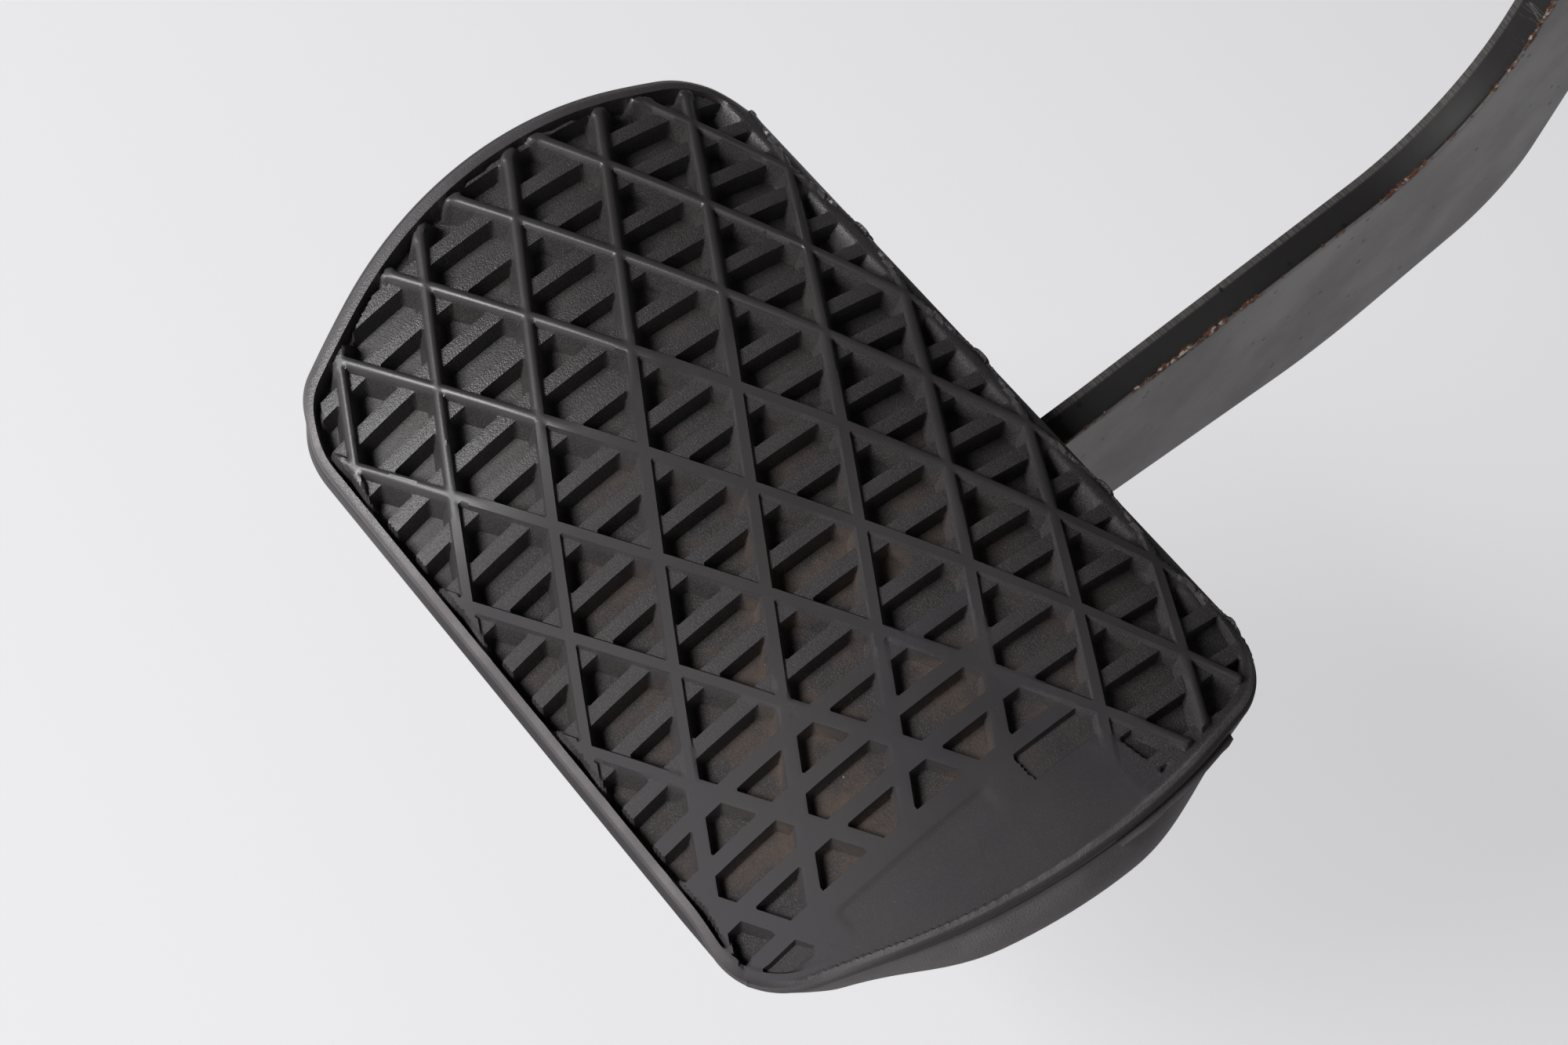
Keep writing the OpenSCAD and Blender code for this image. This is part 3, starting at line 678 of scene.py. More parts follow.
@dataclass(frozen=True)
class LeverPaint:
    """Old black paint on a blanked steel plate, with a sheared edge, chips, rust and painted sheen on its
    sides.
    """

    paint: Point3 = (0.013, 0.012, 0.012)
    side_painted_sheen: Point3 = (0.130, 0.119, 0.119)
    top_painted_sheen: Point3 = (0.222, 0.209, 0.211)
    sheared: Point3 = (0.07, 0.066, 0.064)
    rust: Point3 = (0.10, 0.042, 0.02)
    bare: Point3 = (0.50, 0.46, 0.42)
    cloud_dark: Point3 = (0.026, 0.025, 0.025)
    scratch_pale: Point3 = (0.45, 0.44, 0.43)
    pit_dark: Point3 = (0.006, 0.006, 0.006)
    rough_side: float = 0.46
    rough_front: float = 0.50
    shine_side: float = 0.45
    shine_front: float = 0.14
    # Heights in metres of the band of painted sheen on the lever's sides.
    sheen_from: float = -0.157
    sheen_full: float = -0.115
    sheen_fades: float = -0.08
    sheen_ends: float = -0.03

    def build(self, effects: Effects) -> bpy.types.Material:
        """Builds the material.

        Args:
            effects: Shared effects.

        Returns:
            The material.
        """
        material, g, shader = new_material("lever_paint_worn")
        edge, front, run = g.stored("edge"), g.stored("front"), g.stored("run")
        grain = g.effect(effects.grain, Scale=1800.0, Cloud_Scale=60.0)
        chips = g.effect(effects.chips, Edge=edge, Scale=620.0, Reach=0.34)
        place = g.add("ShaderNodeSeparateXYZ", Vector=g.place())
        across, high = place.outputs[0], place.outputs[2]
        # The sides pale in a band up the lever: painted sheen.
        top_sheen_mask = g.span(high, self.sheen_from, self.sheen_full)
        top_sheen_mask = g.math("MULTIPLY", top_sheen_mask, g.span(high, self.sheen_ends, self.sheen_fades))
        band = g.math("MULTIPLY", g.span(across, -0.0012, -0.0016), front)
        wide, long = g.math("MULTIPLY", across, 60.0), g.math("MULTIPLY", run, 2600.0)
        where = g.add("ShaderNodeCombineXYZ", X=wide, Y=long).outputs[0]
        teeth = g.add("ShaderNodeTexNoise", Vector=where, Scale=1.0, Detail=3.0, Roughness=0.6).outputs[0]
        torn = g.math("MULTIPLY", band, g.span(teeth, 0.35, 0.65, 0.35, 1.0))
        # Sides and back take a paler copy of the black paint as painted sheen; the front stays black.
        flank = g.mix(top_sheen_mask, (*self.side_painted_sheen, 1), (*self.top_painted_sheen, 1))
        flank = g.mix(front, flank, (*self.paint, 1))
        base = g.mix(g.math("MULTIPLY", grain.outputs["Cloud"], 0.22), flank, (*self.cloud_dark, 1))
        base = g.mix(torn, base, (*self.sheared, 1))
        rusty = g.math("MULTIPLY", chips.outputs["Rim"], g.span(edge, 0.25, 0.8))
        base = g.mix(rusty, base, (*self.rust, 1))
        bright = g.math("MULTIPLY", chips.outputs["Chip"], g.span(g.noise(900.0, 2.0), 0.5, 0.6))
        bright = g.math("MULTIPLY", bright, g.span(edge, 0.5, 0.9))
        base = g.mix(bright, base, (*self.bare, 1))
        scratch = g.effect(effects.scratches, Across_Scale=120.0, Along_Scale=700.0, Amount=1.0)
        rubbed = g.math("MULTIPLY", scratch.outputs["Scratch"], front)
        rubbed = g.math("MULTIPLY", rubbed, g.span(run, 0.150, 0.185))
        base = g.mix(g.math("MULTIPLY", rubbed, 0.8), base, (*self.scratch_pale, 1))
        pits = g.add("ShaderNodeTexVoronoi", Vector=g.place(), Scale=420.0)
        pit_colour = g.add("ShaderNodeSeparateColor", Color=pits.outputs["Color"]).outputs[1]
        chosen = g.math("GREATER_THAN", pit_colour, 0.80)
        pit = g.math("MULTIPLY", g.span(pits.outputs["Distance"], 0.22, 0.08), chosen)
        base = g.mix(g.math("MULTIPLY", pit, 0.85), base, (*self.pit_dark, 1))
        g.feed(shader.inputs["Base Color"], base)
        rough = g.span(front, 0.0, 1.0, self.rough_side, self.rough_front)
        rough = g.math("ADD", rough, g.math("MULTIPLY", grain.outputs["Cloud"], 0.10))
        rough = g.math("ADD", rough, g.math("MULTIPLY", rusty, 0.35))
        rough = g.math("ADD", rough, g.math("MULTIPLY", torn, 0.12))
        g.feed(shader.inputs["Roughness"], rough)
        g.feed(shader.inputs["Metallic"], g.math("MULTIPLY", bright, 0.8))
        shine = g.span(front, 0.0, 1.0, self.shine_side, self.shine_front)
        g.feed(shader.inputs["Specular IOR Level"], shine)
        normal = g.bump(g.noise(260.0, 4.0, 0.6), 0.35, 0.00012)
        normal = g.bump(g.math("MULTIPLY", teeth, band), 0.8, 0.00012, normal)
        normal = g.bump(g.math("ADD", chips.outputs["Rim"], pit), -0.6, 0.00008, normal)
        normal = g.bump(grain.outputs["Height"], 0.3, 0.00002, normal)
        g.feed(shader.inputs["Normal"], normal)
        return material


@dataclass(frozen=True)
class SheetPaint:
    """Satin black paint on folded sheet and welded tube, with light dust and small chips."""

    name: str = "bracket_paint_satin"
    paint: Point3 = (0.022, 0.0215, 0.022)
    roughness: float = 0.34
    dust_grey: Point3 = (0.20, 0.18, 0.155)
    chip_brown: Point3 = (0.09, 0.045, 0.025)

    def build(self, effects: Effects) -> bpy.types.Material:
        """Builds the material.

        Args:
            effects: Shared effects.

        Returns:
            The material.
        """
        material, g, shader = new_material(self.name)
        grain = g.effect(effects.grain, Scale=1500.0, Cloud_Scale=45.0)
        dust = g.effect(effects.dust, Amount=0.22, Patch_Scale=32.0, Grit_Scale=500.0)
        chips = g.effect(effects.chips, Edge=0.0, Scale=420.0)
        facing = g.add("ShaderNodeNewGeometry").outputs["Normal"]
        up = g.add("ShaderNodeSeparateXYZ", Vector=facing).outputs[2]
        lying = g.math("MULTIPLY", dust.outputs["Dust"], g.span(up, -0.2, 0.9, 0.35, 1.6))
        r, gr, b = self.paint
        base = g.mix(grain.outputs["Cloud"], (r, gr, b, 1), (r * 1.5, gr * 1.5, b * 1.5, 1))
        base = g.mix(lying, base, (*self.dust_grey, 1))
        base = g.mix(g.math("MULTIPLY", chips.outputs["Chip"], 0.6), base, (*self.chip_brown, 1))
        g.feed(shader.inputs["Base Color"], base)
        rough = g.math("MULTIPLY_ADD", grain.outputs["Cloud"], 0.1, self.roughness)
        g.feed(shader.inputs["Roughness"], g.math("ADD", rough, g.math("MULTIPLY", lying, 0.8)))
        normal = g.bump(g.noise(380.0, 3.0, 0.55), 0.25, 0.00008)
        normal = g.bump(grain.outputs["Height"], 0.25, 0.00002, normal)
        g.feed(shader.inputs["Normal"], normal)
        return material


@dataclass(frozen=True)
class BareSteel:
    """Plated or oiled steel, brushed or turned, with tarnish and dirt."""

    name: str
    colour: Point3
    tarnish: Point3
    roughness: float = 0.34
    dirt: Point3 = (0.09, 0.07, 0.05)

    def build(self, effects: Effects) -> bpy.types.Material:
        """Builds the material.

        Args:
            effects: Shared effects.

        Returns:
            The material.
        """
        material, g, shader = new_material(self.name)
        grain = g.effect(effects.grain, Scale=900.0, Cloud_Scale=130.0)
        dust = g.effect(effects.dust, Amount=0.25, Patch_Scale=120.0)
        turned = g.noise(1400.0, 2.0, 0.5)
        base = g.mix(grain.outputs["Cloud"], (*self.colour, 1), (*self.tarnish, 1))
        base = g.mix(dust.outputs["Dust"], base, (*self.dirt, 1))
        g.feed(shader.inputs["Base Color"], base)
        g.feed(shader.inputs["Metallic"], g.span(dust.outputs["Dust"], 0.0, 0.25, 1.0, 0.75))
        rough = g.math("MULTIPLY_ADD", grain.outputs["Cloud"], 0.16, self.roughness)
        g.feed(shader.inputs["Roughness"], g.math("MULTIPLY_ADD", turned, 0.08, rough))
        normal = g.bump(turned, 0.25, 0.00002)
        g.feed(shader.inputs["Normal"], g.bump(grain.outputs["Height"], 0.2, 0.00003, normal))
        return material


# The pad


@dataclass
class RubberPad:
    """Crowned rubber pad with its diamond and bar tread, rim, wall and lip, sizes in millimetres."""

    place: Point3 = (-10.5, -205.0, -162.0)
    lean: float = 50.0
    crown: float = 78.0
    tread_shift: float = 0.6
    corners: tuple[tuple[float, float, float], ...] = (
        (-55.5, 40.0, 12.5),
        (55.5, 40.0, 12.5),
        (63.9, -0.8, 82.0),
        (47.8, -41.2, 13.0),
        (-47.8, -41.2, 13.0),
        (-63.9, -0.8, 82.0),
    )
    node_rise: float = 14.4
    bar_pitch: float = 6.0
    slope: float = 0.6
    lattice: int = 40
    rim_depth: float = 0.9
    bar_depth: float = 1.0
    floor_depth: float = 3.9
    bulge: float = 2.3
    rim_in: float = 2.3
    rim_foot: float = 0.42
    low_rim: float = 0.8
    low_ledge: float = 1.45
    ridge_steps: tuple[float, ...] = (0.0, 0.03, 0.26, 1.1, 2.1, 3.1, 4.0)
    bar_steps: tuple[float, ...] = (0.0, 0.0, 0.0, 0.06, 1.7, 3.0)
    mesh_in: float = 0.75
    edge_step: float = 0.4
    rim_step: float = 0.36
    worn_share: float = 1.06
    sharp_angle: float = 42.0
    seed: int = 7

    def outline(self, inward: float, step: float = 0.4) -> np.ndarray:
        """Gives the pad's outline, moved inward.

        Args:
            inward: Distance inward, negative for outward.
            step: Distance between its points.

        Returns:
            Points as (u, s).
        """
        moved = []
        count = len(self.corners)
        for i, (x, y, radius) in enumerate(self.corners):
            here = np.array((x, y))
            u = np.array(self.corners[i - 1][:2]) - here
            w = np.array(self.corners[(i + 1) % count][:2]) - here
            u, w = u / np.linalg.norm(u), w / np.linalg.norm(w)
            bisector = (u + w) / np.linalg.norm(u + w)
            shifted = here + bisector * inward / math.sin(math.acos(float(u @ w)) / 2)
            moved.append((shifted[0], shifted[1], max(radius - inward, 1.5)))
        line = rounded(moved, 24) + np.array((self.tread_shift, 0.0))
        return resampled(line, step)

    def placed(self, u: np.ndarray, v: np.ndarray, n: np.ndarray) -> np.ndarray:
        """Carries points of the pad's straight frame into the row frame.

        Args:
            u: Distance to the right.
            v: Distance up the pad.
            n: Distance out of the crown's top.

        Returns:
            Points in metres.
        """
        a = math.radians(self.lean)
        x = u + self.place[0]
        y = self.place[1] + v * math.sin(a) - n * math.cos(a)
        z = self.place[2] + v * math.cos(a) + n * math.sin(a)
        return np.stack([x, y, z], axis=1) * MM

    def to_row(self, u: np.ndarray, s: np.ndarray, depth: np.ndarray) -> np.ndarray:
        """Carries points of the pad into the row frame.

        Args:
            u: Distance to the right.
            s: Distance up along the crown.
            depth: Depth below the ridge tops.

        Returns:
            Points in metres.
        """
        v = self.crown * np.sin(s / self.crown)
        return self.placed(u, v, np.sqrt((self.crown - depth) ** 2 - v**2) - self.crown)

    def wall_to_row(self, u: np.ndarray, s: np.ndarray, depth: np.ndarray) -> np.ndarray:
        """Carries points of the wall into the row frame, along planes through the crown's axis.

        Args:
            u: Distance to the right.
            s: Distance up along the crown, at the rim.
            depth: Depth below the ridge tops.

        Returns:
            Points in metres.
        """
        rise = self.crown * np.sin(s / self.crown)
        angle = np.arcsin(np.clip(rise / (self.crown - self.rim_depth), -1, 1))
        upright = np.arcsin(rise / (self.crown - np.minimum(depth, self.rim_depth)))
        angle = np.where(depth < self.rim_depth, upright, angle)
        radius = self.crown - depth
        return self.placed(u, radius * np.sin(angle), radius * np.cos(angle) - self.crown)

    def along_foot(self, line: np.ndarray) -> np.ndarray:
        """Tells how far each point belongs to the bottom edge, where the rim is a separate roll."""
        low = smoothstep(-line[:, 1], 33.0, 38.5)
        return low * smoothstep(line[:, 0], -53.0, -44.0) * smoothstep(line[:, 0], 46.0, 34.0)

    def rim_line(self, inward: float, low: float, step: float) -> np.ndarray:
        """Gives a line along the rim that keeps further in along the bottom edge.

        Args:
            inward: Distance inward from the outline.
            low: Further distance inward along the bottom edge.
            step: Distance between its points.

        Returns:
            Points as (u, s).
        """
        line = self.outline(inward, step)
        return line - outward(line) * (low * self.along_foot(line))[:, None]

    def wear(self, u: np.ndarray, s: np.ndarray) -> np.ndarray:
        """Gives how far the driver's shoe has worn the tread, from 0 to about 1.4.

        Args:
            u: Distance to the right.
            s: Distance up along the crown.

        Returns:
            Wear at each point.
        """
        flat_crests = smoothstep(u, -34.0, -4.0)
        flush_bars = smoothstep(u + 0.25 * np.clip(-s, 0.0, 20.0), 21.0, 31.0)
        worn = (0.5 * flat_crests + 0.5 * flush_bars) * (1.0 - 0.72 * smoothstep(s, 6.0, 20.0))
        corner = smoothstep(u, 44.0, 54.0) * smoothstep(s, 13.0, 21.0)
        worn = worn * (1.0 - corner)
        heavy = smoothstep(u, 40.0, 58.0) * smoothstep(-s, -16.0, -4.0)
        return worn + 0.35 * heavy

    def floor(self, u: np.ndarray, s: np.ndarray) -> np.ndarray:
        """Gives the depth of the pockets' floors, which rise to the worn face on the right.

        Args:
            u: Distance to the right.
            s: Distance up along the crown.

        Returns:
            Depth at each point.
        """
        edge = 45.0 + 5.4 * smoothstep(s, 1.9, 2.5) + 12.0 * smoothstep(s, 12.8, 16.5)
        edge = edge + 4.0 * smoothstep(-s, 29.0, 30.0)
        rise = 0.28 * smoothstep(u, 11.0, 37.0) + 0.42 * smoothstep(u, 42.0, 47.5) * smoothstep(s, 20.0, 13.0)
        rise = rise + (1 - rise) * smoothstep(u - edge, -1.0, 0.5)
        return self.floor_depth - (self.floor_depth - 0.95) * rise

    def tread(self, u: np.ndarray, s: np.ndarray, rim_gap: np.ndarray) -> np.ndarray:
        """Gives the tread's depth below the unworn ridge tops.

        Args:
            u: Distance to the right.
            s: Distance up along the crown.
            rim_gap: Distance from the foot of the rim.

        Returns:
            Depth at each point.
        """
        step_u = 2 * self.bar_pitch / self.lattice
        floor = self.floor(u, s)
        low = smoothstep(s, 36.5, 34.5) * smoothstep(u, 46.0, 36.0)
        wide = 0.10 * smoothstep(-s, 4.0, 18.0)
        ridges = self.ridges(u, s, low * np.exp(-(((rim_gap - 1.1) / 0.55) ** 2)))
        ridges = ridges + low * 2.0 * smoothstep(rim_gap, 0.55, 0.3)
        rising = smoothstep(s, 33.2, 36.9) * smoothstep(u, 50.0, 40.0)
        floor = floor + (self.rim_depth - floor) * rising
        depth = np.minimum(floor, ridges)
        middle = np.abs(u % self.bar_pitch - self.bar_pitch / 2) / step_u
        bar = self.bar_depth + np.interp(middle, range(len(self.bar_steps)), self.bar_steps)
        bar = bar + low * 2.2 * smoothstep(rim_gap - wide, 0.5, 0.3)
        depth = np.minimum(depth, bar)
        worn = self.wear(u, s)
        crease = smoothstep(u, 46.7, 47.1) * smoothstep(u, 52.0, 47.3)
        crease = 0.2 * crease * smoothstep(s, -26.0, -24.5) * smoothstep(s, -2.0, -4.0)
        rubbed = np.minimum(worn * self.bar_depth * self.worn_share, self.floor_depth)
        return np.maximum(depth, rubbed) + crease

    def ridges(self, u: np.ndarray, s: np.ndarray, swell: np.ndarray | float = 0.0) -> np.ndarray:
        """Gives the depth of the slanted ridges, which bend along the rim at the top and the bottom.

        Args:
            u: Distance to the right.
            s: Distance up along the crown.
            swell: How far each point belongs to the thicker end of a ridge.

        Returns:
            Depth at each point.
        """
        step_s = self.node_rise / self.lattice
        bent = s + np.sign(s) * 0.9 * np.clip(np.abs(s) - 36.6, 0.0, 3.0) ** 1.5
        depth = np.full(len(u), 9.0)
        for way in (1.0, -1.0):
            offset = bent - way * self.slope * u
            off = np.abs((offset + self.node_rise / 2) % self.node_rise - self.node_rise / 2) / step_s
            off = np.clip(off - 1.2 * swell, 0.0, None)
            depth = np.minimum(depth, np.interp(off, range(len(self.ridge_steps)), self.ridge_steps))
        return depth

    def grid(self) -> np.ndarray:
        """Gives the points of a lattice whose lines run along the ridges and the bars.

        Returns:
            Points as (u, s).
        """
        reach = 260
        i, k = np.meshgrid(np.arange(-reach, reach), np.arange(-reach, reach), indexing="ij")
        step = self.node_rise / self.lattice
        u = (k - i).ravel() * step / (2 * self.slope)
        s = (i + k).ravel() * step / 2
        keep = (np.abs(u) < 66) & (np.abs(s) < 44)
        return np.stack([u[keep], s[keep]], axis=1)

    def needed(self, grid: np.ndarray) -> np.ndarray:
        """Tells which points the tread needs, which are all on its slopes and three of four on its flats.

        Args:
            grid: Points of the lattice as (u, s).

        Returns:
            True for each point that is kept.
        """
        step_u, step_s = 2 * self.bar_pitch / self.lattice, self.node_rise / self.lattice / 2
        u, s = grid[:, 0], grid[:, 1]
        far = np.full(len(u), 9.0)
        here = self.tread(u, s, far)
        level = np.ones(len(u), dtype=bool)
        for du in (-step_u, step_u):
            for ds in (-step_s, step_s):
                level &= np.abs(self.tread(u + du, s + ds, far) - here) < 0.01
        i = np.rint((s / step_s - u / step_u) / 2)
        k = np.rint((s / step_s + u / step_u) / 2)
        return ~(level & (i % 2 == 1) & (k % 2 == 1))

    def settle_bars(self, u: np.ndarray, s: np.ndarray) -> tuple[np.ndarray, np.ndarray]:
        """Widens the bars to their measured width, and keeps the ridges straight.

        Args:
            u: Distance to the right.
            s: Distance up along the crown.

        Returns:
            The moved points.
        """
        off = u % self.bar_pitch - self.bar_pitch / 2
        push = 0.1 * np.sign(off) * np.clip(1 - np.abs(np.abs(off) - 1.05) / 0.6, 0, 1)
        move = np.zeros_like(s)
        for way in (1.0, -1.0):
            offset = s - way * self.slope * u
            gap = np.abs((offset + self.node_rise / 2) % self.node_rise - self.node_rise / 2)
            move += way * self.slope * push * np.clip(1.6 - gap / 1.2, 0, 1)
        return u + push, s + move

    def build(self) -> bpy.types.Object:
        """Builds the pad's mesh.

        Returns:
            The piece.
        """
        edge = self.rim_line(self.mesh_in, self.low_ledge, self.edge_step)
        crest = self.rim_line(self.rim_in, self.low_rim, self.rim_step)
        foot = self.rim_line(self.rim_in + self.rim_foot, self.low_rim, self.rim_step)
        grid = self.grid()
        grid = grid[inside(grid, self.rim_line(self.mesh_in + 0.2, self.low_ledge, self.edge_step))]
        inner = inside(grid, foot)
        near = np.minimum(gap_to_line(grid, crest), gap_to_line(grid, foot))
        wanted = self.needed(grid) | (near < 3.0)
        grid = grid[wanted & (near > 0.2) & ~(~inner & inside(grid, crest))]
        points = np.vstack([grid, edge, crest, foot])
        starts = np.cumsum([len(grid), len(edge), len(crest), len(foot)])
        loops = [list(range(a, b)) for a, b in zip(starts[:-1], starts[1:])]
        ends = [(r[i], r[(i + 1) % len(r)]) for r in loops[1:] for i in range(len(r))]
        made = delaunay_2d_cdt([Vector(p) for p in points], ends, [loops[0]], 1, 1e-6)
        flat = np.array([tuple(p) for p in made[0]])
        triangles = [tuple(t) for t in made[2]]
        u, s = flat[:, 0], flat[:, 1]
        on_tread = inside(flat, self.rim_line(self.rim_in + 0.2, self.low_rim, self.rim_step))
        rim_gap = gap_to_line(flat, foot)
        edge_gap = gap_to_line(flat, self.rim_line(0.0, self.low_ledge, self.edge_step))
        ends = smoothstep(np.abs(s), 34.0, 36.5)
        fade = smoothstep(edge_gap, 3.4 - 0.9 * ends, 2.3 - 1.0 * ends)
        pattern = self.tread(u, s, rim_gap)
        pattern = np.where(s > 34.0, np.maximum(pattern, self.rim_depth * fade), pattern)
        rim = self.rim_depth + 0.35 * smoothstep(edge_gap, 1.6, 0.6) ** 2
        rim = rim + 0.45 * smoothstep(s, 36.0, 39.5) * smoothstep(edge_gap, 2.6, 0.8)
        roll = self.rim_depth - 0.1 + 0.6 * np.clip(np.abs(edge_gap - 1.2) / 1.15, 0.0, 1.2) ** 2.5
        rim = rim + (roll - rim) * self.along_foot(flat)
        legs = self.ridges(u, s) + self.rim_depth * fade
        rim = np.where(ends > 0.5, np.minimum(rim, legs), rim)
        right = smoothstep(u, 46.0, 54.0) * smoothstep(s, 30.0, 20.0)
        face = np.maximum(rim, self.wear(u, s) * self.bar_depth * self.worn_share)
        bead = rim - 0.22 * np.exp(-(((edge_gap - 1.05) / 0.4) ** 2))
        beaded = np.where(edge_gap > 1.55, face, bead + (face - bead) * smoothstep(edge_gap, 1.35, 1.55))
        rim = rim + (beaded - rim) * right
        depth = np.where(on_tread, pattern, rim)
        moved_u, moved_s = self.settle_bars(u, s)
        u = np.where(on_tread & (rim_gap > 0.5), moved_u, u)
        s = np.where(on_tread & (rim_gap > 0.5), moved_s, s)
        source = {given: i for i, origins in enumerate(made[3]) for given in origins}
        first = [source[k] for k in loops[0]]
        verts, faces, values = self.wall(flat, triangles, self.to_row(u, s, depth), depth, edge, first)
        piece = add_mesh("tread_pad", verts, faces, Body.PEDAL)
        for name, value in values.items():
            add_value(piece, name, value)
        piece.data.set_sharp_from_angle(angle=math.radians(self.sharp_angle))
        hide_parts("rubber_pad")
        return piece

    def wall(
        self,
        flat: np.ndarray,
        triangles: list,
        top: np.ndarray,
        depth: np.ndarray,
        edge: np.ndarray,
        first: list[int],
    ) -> tuple[np.ndarray, list, dict[str, np.ndarray]]:
        """Adds the rounded rim, the flared wall and the lip behind the foot plate.

        Args:
            flat: The tread's points as (u, s).
            triangles: The tread's faces.
            top: The tread's points in metres.
            depth: Their depths.
            edge: The outer line of the tread's mesh.
            first: Numbers of the tread's points on that line.

        Returns:
            All points, all faces and the values stored on the points.
        """
        direction = outward(edge)
        count = len(edge)
        rng = random.Random(self.seed)
        # Each ring of the wall as its distance out from the rim and down from the tread's edge.
        profile = [
            (-0.52, 0.07), (-0.28, 0.22), (-0.10, 0.48), (0.0, 0.85), (0.0, 1.15), (-0.12, 1.32),
            (-0.10, 1.42), (0.03, 1.5), (0.06, 1.6), (0.05, 1.75), (0.2, 2.4), (0.35, 3.0), (0.55, 4.0),
            (0.75, 5.2), (0.9, 6.6), (0.98, 8.0), (1.0, 9.2), (0.9, 10.3), (0.62, 11.1), (0.1, 11.55),
            (-2.5, 11.6), (-6.0, 11.6), (-8.2, 11.55), (-8.8, 11.3), (-9.0, 10.8), (-9.0, 9.1),
        ]
        low = self.along_foot(edge)
        line = edge + direction * self.mesh_in
        base = line + direction * (self.low_ledge * low)[:, None]
        start_depth = np.array([depth[i] for i in first])
        verts, flats, depths = [top], [flat], [depth]
        ring_starts = []
        total = len(flat)
        bulge = self.side_bulge(base)
        ragged = self.ragged(base, rng)
        for out, down in profile:
            blend_in = min(1.0, down / 3.0)
            level = start_depth * (1 - blend_in) + self.rim_depth * 1.3 * blend_in + down
            lifted = 0.55 * smoothstep(down, 1.3, 1.6) * (1 - 0.2 * down) * (down < 5.0)
            level = level - low * lifted
            reach = line + (base - line) * smoothstep(down, 1.3, 2.3)
            place = reach + direction * (out * bulge if out > 0 else np.full(count, out))[:, None]
            if 1.45 < down < 1.65:
                place = place + direction * ragged[:, None]
            if down > 9.0:
                slot = (np.abs(base[:, 0] - 10.5) < 3.0) & (base[:, 1] > 20.0)
                level = np.where(slot, np.minimum(level, 9.3), level)
            verts.append(self.wall_to_row(place[:, 0], place[:, 1], level))
            flats.append(place)
            depths.append(level)
            ring_starts.append(total)
            total += count
        faces = [t[::-1] for t in triangles] if self.turned(flat, triangles) else list(triangles)
        ring = list(range(ring_starts[0], ring_starts[0] + count))
        order = runs_left(edge)
        for k in range(count):
            n = (k + 1) % count
            quad = (first[k], first[n], ring[n], ring[k])
            faces.append(quad[::-1] if order else quad)
        for a, b in zip(ring_starts[:-1], ring_starts[1:]):
            faces += bridge(a, b, count, flip=order)
        return np.vstack(verts), faces, self.marks(flat, np.vstack(flats), np.concatenate(depths))

    def marks(self, flat: np.ndarray, all_flat: np.ndarray, all_depth: np.ndarray) -> dict[str, np.ndarray]:
        """Gives the numbers that the rubber's finish reads at each point.

        Args:
            flat: The tread's points as (u, s).
            all_flat: The tread's and the wall's points as (u, s).
            all_depth: Their depths.

        Returns:
            Wear, depth, dust, grain, paleness (chalky bloom with painted highlight) and dullness, each from 0
            to 1.
        """
        on_wall = slice(len(flat), None)
        worn = np.clip(self.wear(all_flat[:, 0], all_flat[:, 1]), 0, 1)
        tread_depth = np.clip((all_depth - 1.1) / 1.3, 0, 1)
        tread_depth[on_wall] = 0.0
        worn[on_wall] *= 0.4
        u, s = all_flat[:, 0], all_flat[:, 1]
        centre = np.exp(-(((u - 22.0) / 26.0) ** 2) - ((s + 4.0) / 22.0) ** 2)
        low = np.exp(-(((u - 34.0) / 14.0) ** 2) - ((s + 20.0) / 16.0) ** 2)
        dusty = np.clip(0.15 + 0.95 * np.maximum(centre, low), 0, 1) * (0.10 + 0.9 * tread_depth)
        dusty[on_wall] = 0.05
        stipple = (0.12 + 0.88 * smoothstep(all_depth, 0.75, 1.0)) * (1 - 0.97 * worn**2 * (1 - tread_depth))
        # Paleness is chalky bloom, with painted highlight where the rounded rim and the bead catch light.
        pale = np.zeros(len(all_flat))
        on_foot = self.along_foot(flat)
        gap = gap_to_line(flat, self.rim_line(0.0, self.low_ledge, self.edge_step))
        rim_zone = smoothstep(gap, 2.45, 2.15) * (0.1 + 0.3 * smoothstep(flat[:, 1], 20.0, -10.0))
        rim_zone = rim_zone * smoothstep(flat[:, 1], 36.0, 26.0)
        bead_zone = 0.5 * smoothstep(gap, 1.6, 1.2) * smoothstep(flat[:, 0], 46.0, 54.0)
        shy = smoothstep(flat[:, 0], 46.0, 36.0)
        pale[: len(flat)] = np.maximum(rim_zone * shy + 0.6 * on_foot * (gap < 2.4), bead_zone)
        stipple[: len(flat)] = np.maximum(stipple[: len(flat)], np.minimum(2.2 * pale[: len(flat)], 1.0))
        # The right wall's paleness is partly chalky bloom and partly a painted reflection of the pale floor.
        side = smoothstep(u[on_wall], 40.0, 50.0) * smoothstep(all_depth[on_wall], 2.2, 3.2)
        rim = 0.45 * smoothstep(-s[on_wall], 20.0, 36.0) * smoothstep(all_depth[on_wall], 2.4, 1.8)
        pale[on_wall] = np.maximum(side, rim)
        stipple[on_wall] = 0.3 + 0.7 * pale[on_wall]
        matte = np.maximum(worn, 0.9 * smoothstep(u, -34.0, -6.0))
        return {
            "wear": worn,
            "depth": tread_depth,
            "dusty": dusty,
            "stipple": stipple,
            "pale": pale,
            "matte": matte,
        }

    def side_bulge(self, line: np.ndarray) -> np.ndarray:
        """Gives how far the wall stands out beyond the rim, most at the middle of the sides.

        Args:
            line: Points of the outer edge as (u, s).

        Returns:
            Distance at each point.
        """
        sides = smoothstep(np.abs(line[:, 0] - self.tread_shift), 48.0, 58.0)
        along = smoothstep(line[:, 1], 31.0, 8.0) * smoothstep(line[:, 1], -38.0, -12.0)
        return 0.15 + (self.bulge - 0.15) * sides * along

